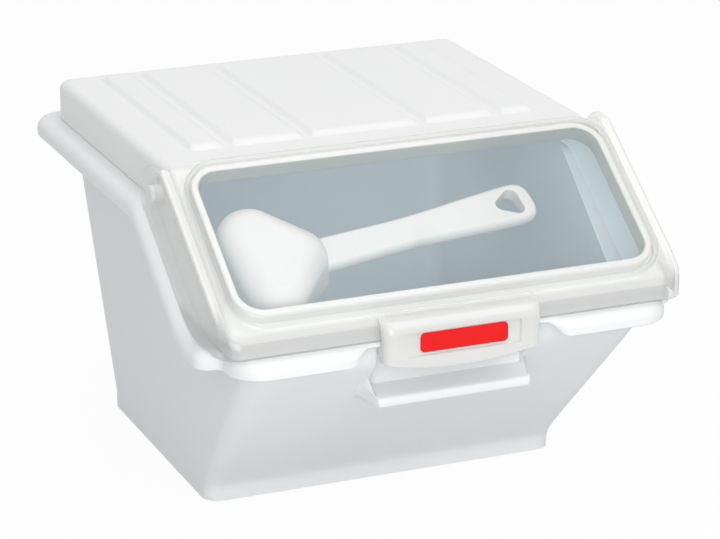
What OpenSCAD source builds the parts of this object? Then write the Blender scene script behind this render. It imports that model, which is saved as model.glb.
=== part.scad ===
// Shelf ingredient bin: an open tub with a rolled rim, a ribbed cover with a sloping window,
// a clear door that swings up on the cover, and a scoop held inside the door.
// Millimetres, +Z up, +X to the right, the door faces -Y.
// The origin is the middle of the foot's underside.

/* [Tub] */
// Width of the foot
foot_w = 220; // [200:1:260]
// Depth of the foot
foot_d = 172; // [150:1:220]
// Height of the upright band round the foot
foot_h = 10.5; // [6:0.5:16]
// How far each side wall leans out on its way to the rim
side_flare = 16.5; // [10:0.5:22]
// How far the back wall leans out on its way to the rim
back_flare = 24; // [12:0.5:30]
// Lean of the front wall from upright, in degrees
front_lean = 45; // [38:1:48]
// Thickness of the tub's walls and floor
tub_wall = 3; // [2:0.25:4]
// Corner radius at the foot
foot_r = 10; // [6:0.5:14]
// Radius of the back corners at the rim
back_r = 16; // [10:0.5:20]
// Radius of the front corners, carried up to the height of the rim
front_r = 26; // [18:0.5:32]

/* [Rim] */
// Height of the level rim
rim_h = 180.5; // [165:0.5:210]
// Fall from the level rim down to the front lip
lip_fall = 54; // [46:0.5:60]
// Angle of the sloping rim and of the window, in degrees
slope = 34.5; // [30:0.5:38]
// How far the rim stands out from the side walls
side_overhang = 17.5; // [15:0.5:22]
// How far the rim stands out from the back wall
back_overhang = 21; // [18:0.5:26]
// How far the lip stands out from the front wall
lip_overhang = 11.5; // [10:0.5:15]
// Upright band of the front wall below the lip
lip_band = 16; // [12:0.5:20]
// Step from the side rim in to the end of the front lip
lip_step = 13; // [8:0.5:16]
// Level stretch from the lip back to where the slope starts
lip_run = 54.5; // [46:0.5:60]
// Thickness of the rim
rim_t = 3; // [2:0.25:4]
// Radius of the rolled edge
rim_roll = 7; // [5:0.5:8]
// Height of the rolled edge
rim_drop = 11; // [9:0.5:14]
// Corner radius of the rim
rim_corner = 18; // [12:0.5:24]

/* [Finger pocket] */
// Width of the pocket under the handle
pocket_w = 98; // [80:1:110]
// Depth of the pocket behind the lip's front edge
pocket_d = 25; // [21:0.5:30]
// Height of the pocket
pocket_h = 25; // [22:0.5:30]
// Width of the gap in the lip
lip_gap = 116; // [104:1:130]
// How far the ledge's edge stays behind the lip's front edge
ledge_back = 10; // [6:0.5:14]
// Thickness of the ledge at its edge
ledge_t = 6; // [4:0.25:7]

/* [Cover] */
// Height of the cover above the rim
cover_h = 24; // [20:0.5:32]
// Shelf of rim left beside the cover
cover_side = 13; // [11:0.5:16]
// Shelf of rim left behind the cover
cover_back = 16.5; // [12:0.5:20]
// Shelf of lip left in front of the cover
cover_front = 8; // [7:0.5:10]
// Height of the cover's front wall
cover_front_h = 10.8; // [8:0.2:14]
// Thickness of the cover
cover_wall = 2.6; // [2:0.1:3.4]
// Radius of the cover's upper edges
cover_edge = 5; // [3:0.5:8]
// Radius of the cover's upright corners
cover_corner = 6; // [4:0.5:8]
// Height of the raised pads on top
pad_h = 2; // [1:0.25:3]
// Width of the grooves between the pads
pad_groove = 4; // [3:0.5:6]
// Width of the middle pad
pad_mid_w = 67; // [56:1:72]
// Width of the pads beside the middle one
pad_wide_w = 44.5; // [38:0.5:48]
// Width of the two outer pads
pad_outer_w = 21; // [14:0.5:24]

/* [Window] */
// Frame left beside the window
window_side = 9.5; // [8.5:0.5:12]
// Frame left above the window
window_top = 9.9; // [9:0.1:13]
// Frame left below the window
window_foot = 13.2; // [11:0.2:16]
// Corner radius of the window
window_r = 13; // [10:0.5:18]
// Width of the raised coaming round the window
coaming_w = 4; // [3:0.25:5]
// Height of the coaming above the frame
coaming_h = 8.5; // [6:0.25:10]

/* [Door] */
// Thickness of the door
door_t = 2.5; // [2:0.1:3]
// How far the door's cheeks stand outside the cover
door_side = 8; // [7:0.5:9]
// Gap from the cover's front wall to the door's skirt
door_front = 2.9; // [2:0.1:4]
// Radius of the door's front corners
door_corner = 14; // [10:0.5:18]
// Radius of the rails along the door's sides
rail_r = 3.2; // [2.8:0.1:4]
// Radius of the round ears
ear_r = 14; // [11:0.5:14.5]
// Depth of the hinge axis below the cover's top
hinge_drop = 16; // [14:0.5:18]
// Distance of the hinge axis behind the cover's fold
hinge_back = 12.5; // [11:0.5:14]
// Radius of the cover's trunnions
trunnion_r = 5; // [4:0.25:6]

/* [Handle] */
// Width of the handle
handle_w = 94; // [80:1:98]
// How far the handle stands in front of the door's skirt
handle_out = 4.5; // [3.5:0.25:7]
// Lowest point of the handle below the door's skirt
handle_drop = 18.5; // [14:0.5:22]
// Rise of the handle's lower edge towards its ends
handle_bow = 5.5; // [3:0.5:8]
// Thickness of the handle's face
handle_t = 4; // [3.5:0.25:5]
// Width of the sunk panel on the face
panel_w = 68; // [58:1:74]
// Height of the sunk panel
panel_h = 14.5; // [12:0.5:17]
// Depth of the sunk panel
panel_d = 1.4; // [1:0.1:1.8]
// Width of the plain red badge
badge_w = 52; // [40:1:56]
// Height of the badge
badge_h = 11; // [9:0.5:12]
// Thickness of the badge
badge_t = 1.2; // [0.8:0.1:1.3]

/* [Scoop] */
// Length of the scoop's handle from the bowl's neck
grip_l = 130; // [115:1:135]
// Width of the grip at its end
grip_w = 27; // [23:0.5:29]
// Width of the grip at its waist
waist_w = 19.5; // [16:0.5:22]
// Thickness of the grip
grip_t = 9; // [7:0.5:10]
// Depth of the bowl
bowl_d = 27.5; // [22:0.5:29]
// Radius of the bowl's two wide corners
bowl_r = 18.2; // [15:0.2:18.6]
// Room between the bowl and the window's lower edge
bowl_room = 4.6; // [4:0.2:8]
// Distance of the wide corners from the neck
bowl_l = 42; // [36:0.5:44]
// Thickness of the bowl
bowl_wall = 2.2; // [1.6:0.1:2.8]

/* [Hidden] */

$fn = 64;
hull_fn = 36;
arc_steps = 8;
roll_steps = 6;
jog_steps = 2;
// Overrun of every cut past the face that it opens
over = 1;
// Clearance between pieces that rest on each other
seat_gap = 0.3;
// Radial clearance of the trunnions in the ears
bore_gap = 0.05;
// Thickness of the slices that a hull joins
slice = 0.1;

// Tub: places that the rim, the cover and the door follow
rim_rise = rim_h - foot_h;
lip_h = rim_h - lip_fall;
wall_half = foot_w / 2 + side_flare;
wall_back = foot_d / 2 + back_flare;
wall_front = -foot_d / 2 - (lip_h - lip_band - foot_h) * tan(front_lean);
rim_half = wall_half + side_overhang;
rim_back = wall_back + back_overhang;
lip_y = wall_front - lip_overhang;
lip_half = rim_half - lip_step;
slope_low_y = lip_y + lip_run;
slope_top_y = slope_low_y + (rim_h - lip_h) / tan(slope);
top_bend = 20;
low_bend = 45;
lip_corner = 20;
low_start = slope_low_y - low_bend * tan(slope / 2);
level_end = slope_top_y + top_bend * tan(slope / 2);
jog_r = 4;
jog_y = lip_y + lip_corner + rim_t;

// Finger pocket
pocket_y = lip_y + pocket_d;
pocket_roof = lip_h - rim_t - ledge_t / 2;
pocket_floor = pocket_roof - pocket_h;
pocket_fillet = 4;
ledge_w = pocket_w - ledge_t;
ledge_fall = 3.5;
ledge_y = lip_y + ledge_back;

// Cover
cover_half = rim_half - cover_side;
cover_back_y = rim_back - cover_back;
cover_front_y = lip_y + cover_front;
cover_top = rim_h + cover_h;
cover_front_top = lip_h + cover_front_h;
fold_y = cover_front_y + (cover_top - cover_front_top) / tan(slope);
slope_l = (fold_y - cover_front_y) / cos(slope);
fold_r = 6;
front_edge_r = 3;
pad_back_margin = 13;
pad_front_margin = 31;
pad_r = 3;
tab_w = 24;
tab_t = 2;
tab_drop = 7;

// Window and coaming, in the plane of the cover's sloping frame
window_half = cover_half - window_side;
window_low = slope_l - window_foot;
window_l = window_low - window_top;
window_mid = (window_low + window_top) / 2;

// Door, in the plane of the frame: heights are above the frame's face
door_half = cover_half + door_side;
door_skirt_y = cover_front_y - door_front - door_t;
skirt_z = lip_h + 1.2 * door_t / 2;
flange_low = 0.5;
flange_top = flange_low + door_t;
lid_low = coaming_h + flange_low;
lid_top = lid_low + door_t;
lid_gap = 0.7;
// More room at the foot, because the wall there swings in over the coaming
lid_foot_gap = 2.4;
lid_chamfer = 1.2;
door_margin = coaming_w + lid_gap + door_t;
door_foot = lid_foot_gap - lid_gap;
fold_edge_r = 4;
cheek_gap = 1.2;
hinge_y = fold_y + hinge_back;
hinge_z = cover_top - hinge_drop;
ear_hub_r = trunnion_r + 3.5;
ear_hub_gap = 0.8;
rail_start = 1;

// Handle
handle_y = door_skirt_y - handle_out;
handle_low = skirt_z - handle_drop;
handle_cheek_t = door_t;
handle_corner = 7;
handle_back_y = cover_front_y - door_front;
handle_brow = 9;
brow_z = frame_z(door_skirt_y, flange_top) - handle_brow / 2;
bow_r = (pow(handle_w / 2, 2) + pow(handle_bow, 2)) / (2 * handle_bow);
panel_z = handle_low + handle_bow + panel_h / 2 + 1.2 * door_t;
panel_r = 3;
badge_r = 2.5;

// Scoop, held parallel to the window
scoop_yaw = 8;
scoop_in = 70.5;
scoop_low = 2.3;
scoop_x = scoop_in - window_half;
scoop_s = window_mid + scoop_low;
scoop_h = -13.5;
base_up = 19.5;
base_fillet = 7;
neck_w = 21;
neck_r = 14;
neck_in = 24;
// The wide corners reach down to the room left above the window's lower edge
bowl_half = (window_l / 2 - scoop_low - bowl_room - bowl_r - bowl_l * sin(scoop_yaw)) / cos(scoop_yaw);
waist_share = 0.38;
waist_x = waist_share * grip_l;
hole_r = 3.2;
hole_in = 13;
hole_half = 5.5;
hole_l = 8;
clip_l = 9;
clip_t = 2.2;
clip_past = 1;

// Two-dimensional helpers

// Arc that rounds the corner b of the path a, b, c
function corner_arc(a, b, c, r) =
    let (u = (a - b) / norm(a - b), v = (c - b) / norm(c - b), half = acos(u * v) / 2,
         o = b + (u + v) / norm(u + v) * r / sin(half),
         s = b + u * r / tan(half) - o, e = b + v * r / tan(half) - o,
         a0 = atan2(s[1], s[0]), turn = atan2(e[1], e[0]) - a0,
         sweep = turn > 180 ? turn - 360 : turn < -180 ? turn + 360 : turn)
    [for (i = [0:arc_steps]) o + r * [cos(a0 + sweep * i / arc_steps), sin(a0 + sweep * i / arc_steps)]];

// Closed path with its corners rounded, one radius for each corner
function round_path(points, radii) =
    let (n = len(points))
    [for (i = [0:n - 1]) each radii[i] == 0 ? [points[i]]
        : corner_arc(points[(i + n - 1) % n], points[i], points[(i + 1) % n], radii[i])];

// Height of the frame's plane, moved out by d, above a place y
function frame_z(y, d = 0) = cover_top + d / cos(slope) + (y - fold_y) * tan(slope);

// Corners of the rim's line seen from the side, from the lip back, moved up by d
function rim_corner_low(d) = [slope_low_y - d * tan(slope / 2), lip_h + d];
function rim_corner_top(d) = [slope_top_y - d * tan(slope / 2), rim_h + d];

module round_rect(x0, x1, y0, y1, r) {
    translate([x0 + r, y0]) square([x1 - x0 - 2 * r, y1 - y0]);
    translate([x0, y0 + r]) square([x1 - x0, y1 - y0 - 2 * r]);
    for (x = [x0 + r, x1 - r], y = [y0 + r, y1 - r]) translate([x, y]) circle(r);
}

// Extrudes a profile drawn in Y and Z to both sides of the middle
module along_x(width) {
    rotate([90, 0, 90]) linear_extrude(width, center = true) children();
}

// Places children in the plane of the window: X, up the slope, out of the frame
module on_frame() {
    translate([0, fold_y, cover_top]) rotate([slope, 0, 0]) children();
}

module both_sides() {
    children();
    mirror([1, 0, 0]) children();
}

// Tub

// Section of the rolled rim from the edge of its plate out, over the roll and back: [out, up]
function rim_section() = concat(
    [for (i = [0:roll_steps]) let (a = 90 * i / roll_steps) rim_roll * [sin(a) - 1, cos(a) - 1]],
    [[0, -rim_drop], [-rim_t, -rim_drop]],
    [for (i = [roll_steps:-1:0]) let (a = 90 * i / roll_steps)
        (rim_roll - rim_t) * [sin(a), cos(a)] - [rim_roll, rim_roll]]);

// One station of a rim: where its edge is, which way is out and up, and where its plate ends inside
function station(edge, out, up, inner) = concat(
    [inner], [for (q = rim_section()) edge + q[0] * out + q[1] * up], [inner - rim_t * up]);

// Half width of the rim's inner edge, inside the tub's side wall, at a height
function rim_inner(z) = foot_w / 2 + side_flare * (z - foot_h) / rim_rise - 3 * tub_wall / 4;

// Stations round a level corner, with the centre and radius of its edge and of the wall below it
function corner_stations(edge, edge_r, wall, wall_r, z, a0) =
    [for (i = [0:arc_steps]) let (a = a0 + 90 * i / arc_steps, out = [cos(a), sin(a), 0])
        station([edge[0], edge[1], z] + edge_r * out, out, [0, 0, 1], [wall[0], wall[1], z] + wall_r * out)];

// Stations of the jog from the lip's end out to the side rim: a hollow turn, then a round one
function jog_stations() = concat(
    [for (i = [0:jog_steps]) let (a = -90 * i / jog_steps, out = [cos(a), sin(a), 0])
        station([lip_half + jog_r, jog_y, lip_h] - jog_r * out, out, [0, 0, 1],
            [rim_inner(lip_h), jog_y + rim_t / 2 + lip_step / 2 * i / jog_steps, lip_h])],
    [for (i = [1:jog_steps]) let (a = 90 * i / jog_steps - 90, out = [cos(a), sin(a), 0])
        station([lip_half + jog_r, jog_y + lip_step, lip_h] + (lip_step - jog_r) * out, out, [0, 0, 1],
            [rim_inner(lip_h), jog_y + rim_t / 2 + lip_step / 2 * (1 + i / jog_steps), lip_h])]);

// Station of the side rim at a place seen from the side, where the rim is tilted by an angle
function side_station(y, z, tilt) = station([rim_half, y, z], [1, 0, 0], [0, -sin(tilt), cos(tilt)],
    [rim_inner(z), y, z]);

// Right-hand half of the rim: the lip's corner, the jog, the slope with its two bends, the back corner
function half_rim() = concat(
    corner_stations([lip_half - lip_corner, lip_y + lip_corner], lip_corner,
        [rim_inner(lip_h) - rim_t, wall_front + tub_wall / 2 + rim_t], rim_t, lip_h, -90),
    jog_stations(),
    [for (i = [0:arc_steps]) let (a = slope * i / arc_steps)
        side_station(low_start + low_bend * sin(a), lip_h + low_bend * (1 - cos(a)), a)],
    [for (i = [arc_steps:-1:0]) let (a = slope * i / arc_steps)
        side_station(level_end - top_bend * sin(a), rim_h - top_bend * (1 - cos(a)), a)],
    corner_stations([rim_half - rim_corner, rim_back - rim_corner], rim_corner,
        [wall_half - back_r, wall_back - back_r], back_r - tub_wall / 2, rim_h, 0));

// The same stations on the other hand, in the order that carries the path on
function mirrored(stations) =
    [for (i = [len(stations) - 1:-1:0]) [for (q = stations[i]) [-q[0], q[1], q[2]]]];

// Closed ring swept through a list of stations
module ring(stations) {
    n = len(stations[0]);
    count = len(stations);
    polyhedron([for (st = stations) each st], [for (i = [0:count - 1], j = [0:n - 1])
        let (next = (i + 1) % count, k = (j + 1) % n) [i * n + j, next * n + j, next * n + k, i * n + k]]);
}

// Leaning walls between the foot and the level of the rim, drawn in by one wall inside
module wall_form(inset, z0, z1) {
    grow = function(z) (z - foot_h) / rim_rise;
    hull() for (z = [z0, z1 - slice], sx = [-1, 1]) {
        half = foot_w / 2 + side_flare * grow(z) - inset;
        back = foot_d / 2 + back_flare * grow(z) - inset;
        front = -foot_d / 2 - (z - foot_h) * tan(front_lean) + inset / cos(front_lean);
        rear_r = max(foot_r + (back_r - foot_r) * grow(z) - inset, slice);
        fore_r = max(foot_r + (front_r - foot_r) * grow(z) - inset, slice);
        translate([sx * (half - rear_r), back - rear_r, z]) cylinder(slice, r = rear_r, $fn = hull_fn);
        translate([sx * (half - fore_r), front + fore_r, z]) cylinder(slice, r = fore_r, $fn = hull_fn);
    }
}

// Space under the rim's line and behind the upright front band, seen from the side
module under_rim(inset, top) {
    front = wall_front + inset;
    polygon(round_path([[front, 0], [rim_back, 0], [rim_back, rim_h + top], rim_corner_top(top),
        rim_corner_low(top), [front, lip_h + top]], [0, 0, 0, top_bend + top, low_bend - top, 0]));
}

module tub_solid() {
    linear_extrude(foot_h) round_rect(-foot_w / 2, foot_w / 2, -foot_d / 2, foot_d / 2, foot_r);
    intersection() {
        wall_form(0, foot_h, rim_h);
        along_x(2 * rim_half) under_rim(0, -rim_t / 2);
    }
}

module tub_cavity() {
    intersection() {
        union() {
            translate([0, 0, tub_wall]) linear_extrude(foot_h)
                round_rect(-foot_w / 2 + tub_wall, foot_w / 2 - tub_wall,
                    -foot_d / 2 + tub_wall, foot_d / 2 - tub_wall, foot_r - tub_wall);
            wall_form(tub_wall, foot_h, rim_h + rim_roll);
        }
        along_x(2 * rim_half) under_rim(tub_wall, rim_roll);
    }
}

module pocket_block(half, back_y, z0, z1) {
    translate([-half, lip_y - over, z0]) cube([2 * half, back_y - lip_y + over, z1 - z0]);
}

module pocket_ledge() {
    low = pocket_floor - 2 * ledge_t;
    wall_y = -foot_d / 2 - (low - foot_h) * tan(front_lean);
    meet_z = foot_h + (-foot_d / 2 - pocket_y) / tan(front_lean);
    bite = tub_wall / 2;
    along_x(ledge_w) polygon(round_path([
        [wall_y + bite, low], [pocket_y + bite, meet_z], [pocket_y, meet_z],
        [pocket_y, pocket_floor], [ledge_y, pocket_floor - ledge_fall],
        [ledge_y, pocket_floor - ledge_fall - ledge_t], [wall_y, low]],
        [0, 0, 0, pocket_fillet, ledge_t / 4, ledge_t / 3, 0]));
}

module bin_body() {
    color("whitesmoke") {
        difference() {
            union() {
                difference() {
                    tub_solid();
                    tub_cavity();
                }
                ring(concat(half_rim(), mirrored(half_rim())));
                intersection() {
                    tub_solid();
                    pocket_block(pocket_w / 2 + tub_wall, pocket_y + tub_wall,
                        pocket_floor - 2 * ledge_t, lip_h - rim_t / 2);
                }
            }
            pocket_block(pocket_w / 2, pocket_y, pocket_floor - ledge_t, pocket_roof);
            translate([-lip_gap / 2, lip_y - over, lip_h - rim_drop - over])
                cube([lip_gap, cover_front - over, rim_drop + 2 * over]);
        }
        pocket_ledge();
    }
}

// Cover

// Side view of the cover, drawn in by a wall inside and let down past its open bottom
module cover_side_view(inset, drop) {
    fold = [fold_y + inset * (1 / cos(slope) - 1) / tan(slope), cover_top - inset];
    brow = [cover_front_y + inset, frame_z(cover_front_y + inset, -inset)];
    lift = seat_gap - drop;
    polygon(round_path([
        [cover_back_y - inset, rim_h + lift], [cover_back_y - inset, cover_top - inset], fold, brow,
        [cover_front_y + inset, lip_h + lift], rim_corner_low(lift), rim_corner_top(lift)],
        [0, cover_edge - inset / 2, fold_r - inset / 2, front_edge_r - inset / 2, 0,
            low_bend - lift, top_bend + lift]));
}

module cover_form(inset, drop) {
    half = cover_half - inset;
    edge = cover_edge - inset / 2;
    intersection() {
        along_x(2 * rim_half) cover_side_view(inset, drop);
        translate([0, cover_back_y, 0]) rotate([90, 0, 0]) linear_extrude(cover_back_y - cover_front_y)
            round_rect(-half, half, 0, cover_top - inset, edge);
        linear_extrude(cover_top) {
            round_rect(-half, half, cover_front_y + inset, cover_back_y - inset, cover_corner - inset / 2);
        }
    }
}

module top_pads() {
    wide_x = pad_mid_w / 2 + pad_groove;
    outer_x = wide_x + pad_wide_w + pad_groove;
    y0 = fold_y + pad_front_margin;
    y1 = cover_back_y - pad_back_margin;
    translate([0, 0, cover_top - pad_h]) linear_extrude(2 * pad_h) {
        round_rect(-pad_mid_w / 2, pad_mid_w / 2, y0, y1, pad_r);
        for (side = [-1, 1]) {
            far = side * (wide_x + pad_wide_w);
            tip = side * (outer_x + pad_outer_w);
            round_rect(min(side * wide_x, far), max(side * wide_x, far), y0, y1, pad_r);
            round_rect(min(side * outer_x, tip), max(side * outer_x, tip), y0, y1, pad_r);
        }
    }
}

// Outline of the window, grown by a margin and by more at its foot
module window_outline(margin, foot = 0) {
    round_rect(-window_half - margin, window_half + margin, -window_low - margin - foot, -window_top + margin,
        window_r + margin);
}

// Tabs inside the cover's walls that drop into the tub's mouth and hold the cover in place
module locating_tabs() {
    inner = wall_half - tub_wall - seat_gap;
    back = wall_back - tub_wall - seat_gap;
    mid_y = (cover_back_y + slope_top_y) / 2;
    both_sides() for (y = [mid_y - tab_w, mid_y + tab_w]) {
        translate([inner - tab_t - side_flare * tab_drop / rim_rise, y - tab_w / 2, rim_h - tab_drop])
            cube([tab_t, tab_w, tab_drop + cover_wall]);
        translate([inner - tab_t - side_flare * tab_drop / rim_rise, y - tab_w / 2, rim_h + seat_gap])
            cube([cover_half - inner + tab_t, tab_w, cover_wall]);
    }
}

module top_cover() {
    color("white") {
        difference() {
            union() {
                cover_form(0, 0);
                on_frame() translate([0, 0, -cover_wall / 2]) linear_extrude(coaming_h + cover_wall / 2)
                    window_outline(coaming_w);
                top_pads();
            }
            cover_form(cover_wall, cover_h);
            on_frame() translate([0, 0, -cover_h]) linear_extrude(cover_h + coaming_h + over)
                window_outline(0);
        }
        locating_tabs();
        both_sides() translate([cover_half - cover_wall, hinge_y, hinge_z]) rotate([0, 90, 0])
            cylinder(cover_wall + door_side - seat_gap, r = trunnion_r);
    }
}

// Door

// Side view of the door's outside: crest, skirt, edge above the rim and round ear
module door_side_view() {
    polygon(round_path([
        [door_skirt_y, skirt_z], [door_skirt_y, frame_z(door_skirt_y, flange_top)],
        [fold_y + flange_top * sin(slope), frame_z(fold_y + flange_top * sin(slope), flange_top)],
        [hinge_y, hinge_z], rim_corner_top(cheek_gap) - top_bend * [cos(slope), sin(slope)],
        rim_corner_low(cheek_gap)],
        [0, fold_edge_r, 0, 0, 0, low_bend - cheek_gap]));
    translate([hinge_y, hinge_z]) circle(ear_r);
}

// Everything inside the door's flange and behind its upper edge, seen from the side
module door_hollow_view() {
    front = door_skirt_y + door_t;
    top = [fold_y, cover_top] + flange_low * [-sin(slope), cos(slope)];
    polygon([[front, 0], [front, frame_z(front, flange_low)], top,
        top + 2 * cover_h * [-sin(slope), cos(slope)],
        [cover_back_y, cover_top + 2 * cover_h], [cover_back_y, 0]]);
}

module door_plan(inset) {
    linear_extrude(2 * cover_top) round_rect(-door_half + inset, door_half - inset, door_skirt_y + inset,
        cover_back_y, door_corner - inset);
}

module door_tray() {
    difference() {
        intersection() {
            along_x(2 * rim_half) door_side_view();
            door_plan(0);
        }
        intersection() {
            along_x(2 * rim_half) door_hollow_view();
            door_plan(door_t);
        }
    }
}

// Raised clear panel over the coaming
module door_lid() {
    difference() {
        on_frame() {
            translate([0, 0, flange_low]) linear_extrude(lid_top - flange_low - lid_chamfer)
                window_outline(door_margin, door_foot);
            hull() {
                translate([0, 0, lid_top - lid_chamfer - slice]) linear_extrude(slice)
                    window_outline(door_margin, door_foot, $fn = hull_fn);
                translate([0, 0, lid_top - slice]) linear_extrude(slice)
                    window_outline(door_margin - lid_chamfer, door_foot, $fn = hull_fn);
            }
        }
        lid_hollow();
    }
}

// Room under the panel for the coaming
module lid_hollow() {
    on_frame() translate([0, 0, -over]) linear_extrude(lid_low + over)
        window_outline(door_margin - door_t, door_foot);
}

module door_rails() {
    rail_x = door_half - rail_r;
    low = (fold_y - door_skirt_y) / cos(slope) - door_corner;
    both_sides() on_frame() translate([rail_x, rail_start, flange_low]) {
        sphere(rail_r);
        rotate([90, 0, 0]) cylinder(low + rail_start, r = rail_r);
        translate([0, -low - rail_start, 0]) sphere(rail_r);
    }
}

// Side view of the handle: its face, and a brow that runs up into the door's flange
module handle_view() {
    top_y = door_skirt_y + handle_brow;
    polygon(round_path([
        [handle_back_y, handle_low - over], [handle_y, handle_low - over], [handle_y, brow_z],
        [top_y, frame_z(top_y, flange_top)], [top_y, frame_z(top_y, flange_low)],
        [handle_back_y, frame_z(handle_back_y, flange_low)]],
        [0, 0, handle_corner, 0, 0, 0]));
}

// Side view of the handle's hollow, open below and behind
module handle_hollow_view() {
    face = handle_y + handle_t;
    back = handle_back_y + over;
    polygon(round_path([
        [back, handle_low - 2 * over], [face, handle_low - 2 * over], [face, brow_z - door_t],
        [back, frame_z(back, flange_low)]], [0, 0, door_t, 0]));
}

module handle_plan(inset) {
    half = handle_w / 2 - inset;
    linear_extrude(cover_top)
        round_rect(-half, half, handle_y, fold_y, handle_corner - inset);
}

// Handle with its bowed lower edge
module handle_form() {
    intersection() {
        along_x(handle_w) handle_view();
        handle_plan(0);
        translate([0, 0, handle_low + bow_r]) rotate([90, 0, 0]) cylinder(-2 * handle_y, r = bow_r);
    }
}

module handle_hollow() {
    intersection() {
        along_x(handle_w) handle_hollow_view();
        handle_plan(handle_cheek_t);
    }
}

module handle_panel_cut() {
    translate([0, handle_y + panel_d, panel_z]) rotate([90, 0, 0]) linear_extrude(panel_d + over)
        round_rect(-panel_w / 2, panel_w / 2, -panel_h / 2, panel_h / 2, panel_r);
}

module on_scoop() {
    on_frame() translate([scoop_x, -scoop_s, scoop_h]) rotate([0, 0, scoop_yaw]) children();
}

// Two prongs under the panel that hold the scoop's grip at its waist
module scoop_clip() {
    spread = (grip_w - waist_w) / 2 * clip_l / 2 / (grip_l - grip_w / 2 - waist_x);
    gap = waist_w / 2 + spread + seat_gap;
    low = -grip_t / 2 - clip_past;
    on_scoop() for (side = [-1, 1])
        translate([waist_x - clip_l / 2, side * (gap + clip_t / 2) - clip_t / 2, low])
            cube([clip_l, clip_t, lid_low - scoop_h + door_t / 2 - low]);
}

module front_door() {
    color("lightcyan", 0.4) difference() {
        union() {
            difference() {
                union() {
                    door_tray();
                    handle_form();
                }
                handle_hollow();
                lid_hollow();
            }
            door_lid();
            door_rails();
            scoop_clip();
            both_sides() translate([cover_half + ear_hub_gap, hinge_y, hinge_z]) rotate([0, 90, 0])
                cylinder(door_side - ear_hub_gap, r = ear_hub_r);
        }
        handle_panel_cut();
        both_sides() translate([cover_half, hinge_y, hinge_z]) rotate([0, 90, 0])
            cylinder(door_side + over, r = trunnion_r + bore_gap);
    }
}

module handle_badge() {
    color("red") translate([0, handle_y + panel_d, panel_z]) rotate([90, 0, 0]) linear_extrude(badge_t)
        round_rect(-badge_w / 2, badge_w / 2, -badge_h / 2, badge_h / 2, badge_r);
}

// Scoop: u along the grip, the bowl's base faces the door

// Rounded triangle of the bowl between its open rim and its base, drawn in by a wall inside
module bowl_form(inset, low, high) {
    flare = 8;
    hull() {
        translate([-neck_in, 0, low]) cylinder(slice, r = neck_r + flare - inset, $fn = hull_fn);
        translate([-neck_in, 0, high - base_fillet]) bowl_foot(neck_r - inset);
        for (side = [-1, 1]) {
            translate([-bowl_l - flare / 4, side * bowl_half, low])
                cylinder(slice, r = bowl_r - inset, $fn = hull_fn);
            translate([-bowl_l, side * bowl_half, high - base_fillet]) bowl_foot(bowl_r - inset);
        }
    }
}

// Disc with a rounded upper edge
module bowl_foot(r) {
    rotate_extrude($fn = hull_fn) {
        square([r - base_fillet, base_fillet]);
        intersection() {
            translate([r - base_fillet, 0]) circle(base_fillet, $fn = hull_fn);
            square([r, base_fillet]);
        }
    }
}

// Round-edged disc of the grip
module grip_disc(r) {
    edge = grip_t / 2;
    rotate_extrude($fn = hull_fn) {
        translate([0, -edge]) square([r - edge, grip_t]);
        intersection() {
            translate([r - edge, 0]) circle(edge, $fn = hull_fn);
            translate([0, -edge]) square([r, grip_t]);
        }
    }
}

module grip_span(x0, r0, x1, r1) {
    hull() {
        translate([x0, 0, 0]) grip_disc(r0);
        translate([x1, 0, 0]) grip_disc(r1);
    }
}

module scoop() {
    rim_w = base_up - bowl_d;
    color("white") on_scoop() {
        difference() {
            union() {
                bowl_form(0, rim_w, base_up);
                grip_span(-neck_in / 2, neck_w / 2, waist_x, waist_w / 2);
                grip_span(waist_x, waist_w / 2, grip_l - grip_w / 2, grip_w / 2);
            }
            bowl_form(bowl_wall, rim_w - over, base_up - bowl_wall);
            translate([grip_l - hole_in, 0, -grip_t]) linear_extrude(2 * grip_t) hull() {
                translate([-hole_l, 0]) circle(hole_r, $fn = hull_fn);
                for (side = [-1, 1]) translate([0, side * hole_half]) circle(hole_r, $fn = hull_fn);
            }
        }
    }
}

bin_body();
top_cover();
front_door();
handle_badge();
scoop();
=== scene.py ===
"""Looks of the shelf ingredient bin: white moulded tub and cover, clear door, red badge and scoop."""

from __future__ import annotations

import logging
import math
from dataclasses import dataclass, field
from enum import Enum
from typing import Callable, Iterable, Sequence

import bmesh
import bpy
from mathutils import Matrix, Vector
from mathutils.bvhtree import BVHTree
from mathutils.geometry import delaunay_2d_cdt

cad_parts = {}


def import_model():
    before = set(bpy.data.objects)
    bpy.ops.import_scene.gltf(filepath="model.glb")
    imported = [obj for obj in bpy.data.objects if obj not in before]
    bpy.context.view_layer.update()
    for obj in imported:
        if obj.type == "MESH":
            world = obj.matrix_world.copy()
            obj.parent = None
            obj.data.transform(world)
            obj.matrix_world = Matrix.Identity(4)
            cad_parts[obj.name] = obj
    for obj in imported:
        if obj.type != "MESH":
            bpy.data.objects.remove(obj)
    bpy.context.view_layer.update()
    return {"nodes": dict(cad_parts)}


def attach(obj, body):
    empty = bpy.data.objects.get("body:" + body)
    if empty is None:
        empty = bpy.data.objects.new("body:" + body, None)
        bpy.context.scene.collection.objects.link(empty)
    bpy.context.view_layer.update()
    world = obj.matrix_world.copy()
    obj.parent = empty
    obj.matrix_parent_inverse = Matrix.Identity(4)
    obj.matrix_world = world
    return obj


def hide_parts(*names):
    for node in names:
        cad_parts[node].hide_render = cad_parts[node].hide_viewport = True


LOG = logging.getLogger("ingredient_bin")
MM = 0.001
QUARTER = math.pi / 2
HANDS = (-1, 1)
UP = Vector((0.0, 0.0, 1.0))

# Name of the mark on points that a finish reads, and its levels; the deep level takes a painted shade and glow.
INSIDE = "inside"
DEEP_PAINTED_SHADE = 2.0
CLEARED = 1.0

Colour = tuple[float, float, float]
Flat = tuple[float, float]
Place = tuple[float, float, float]
Point = Sequence[float]
Vert = bmesh.types.BMVert

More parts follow.
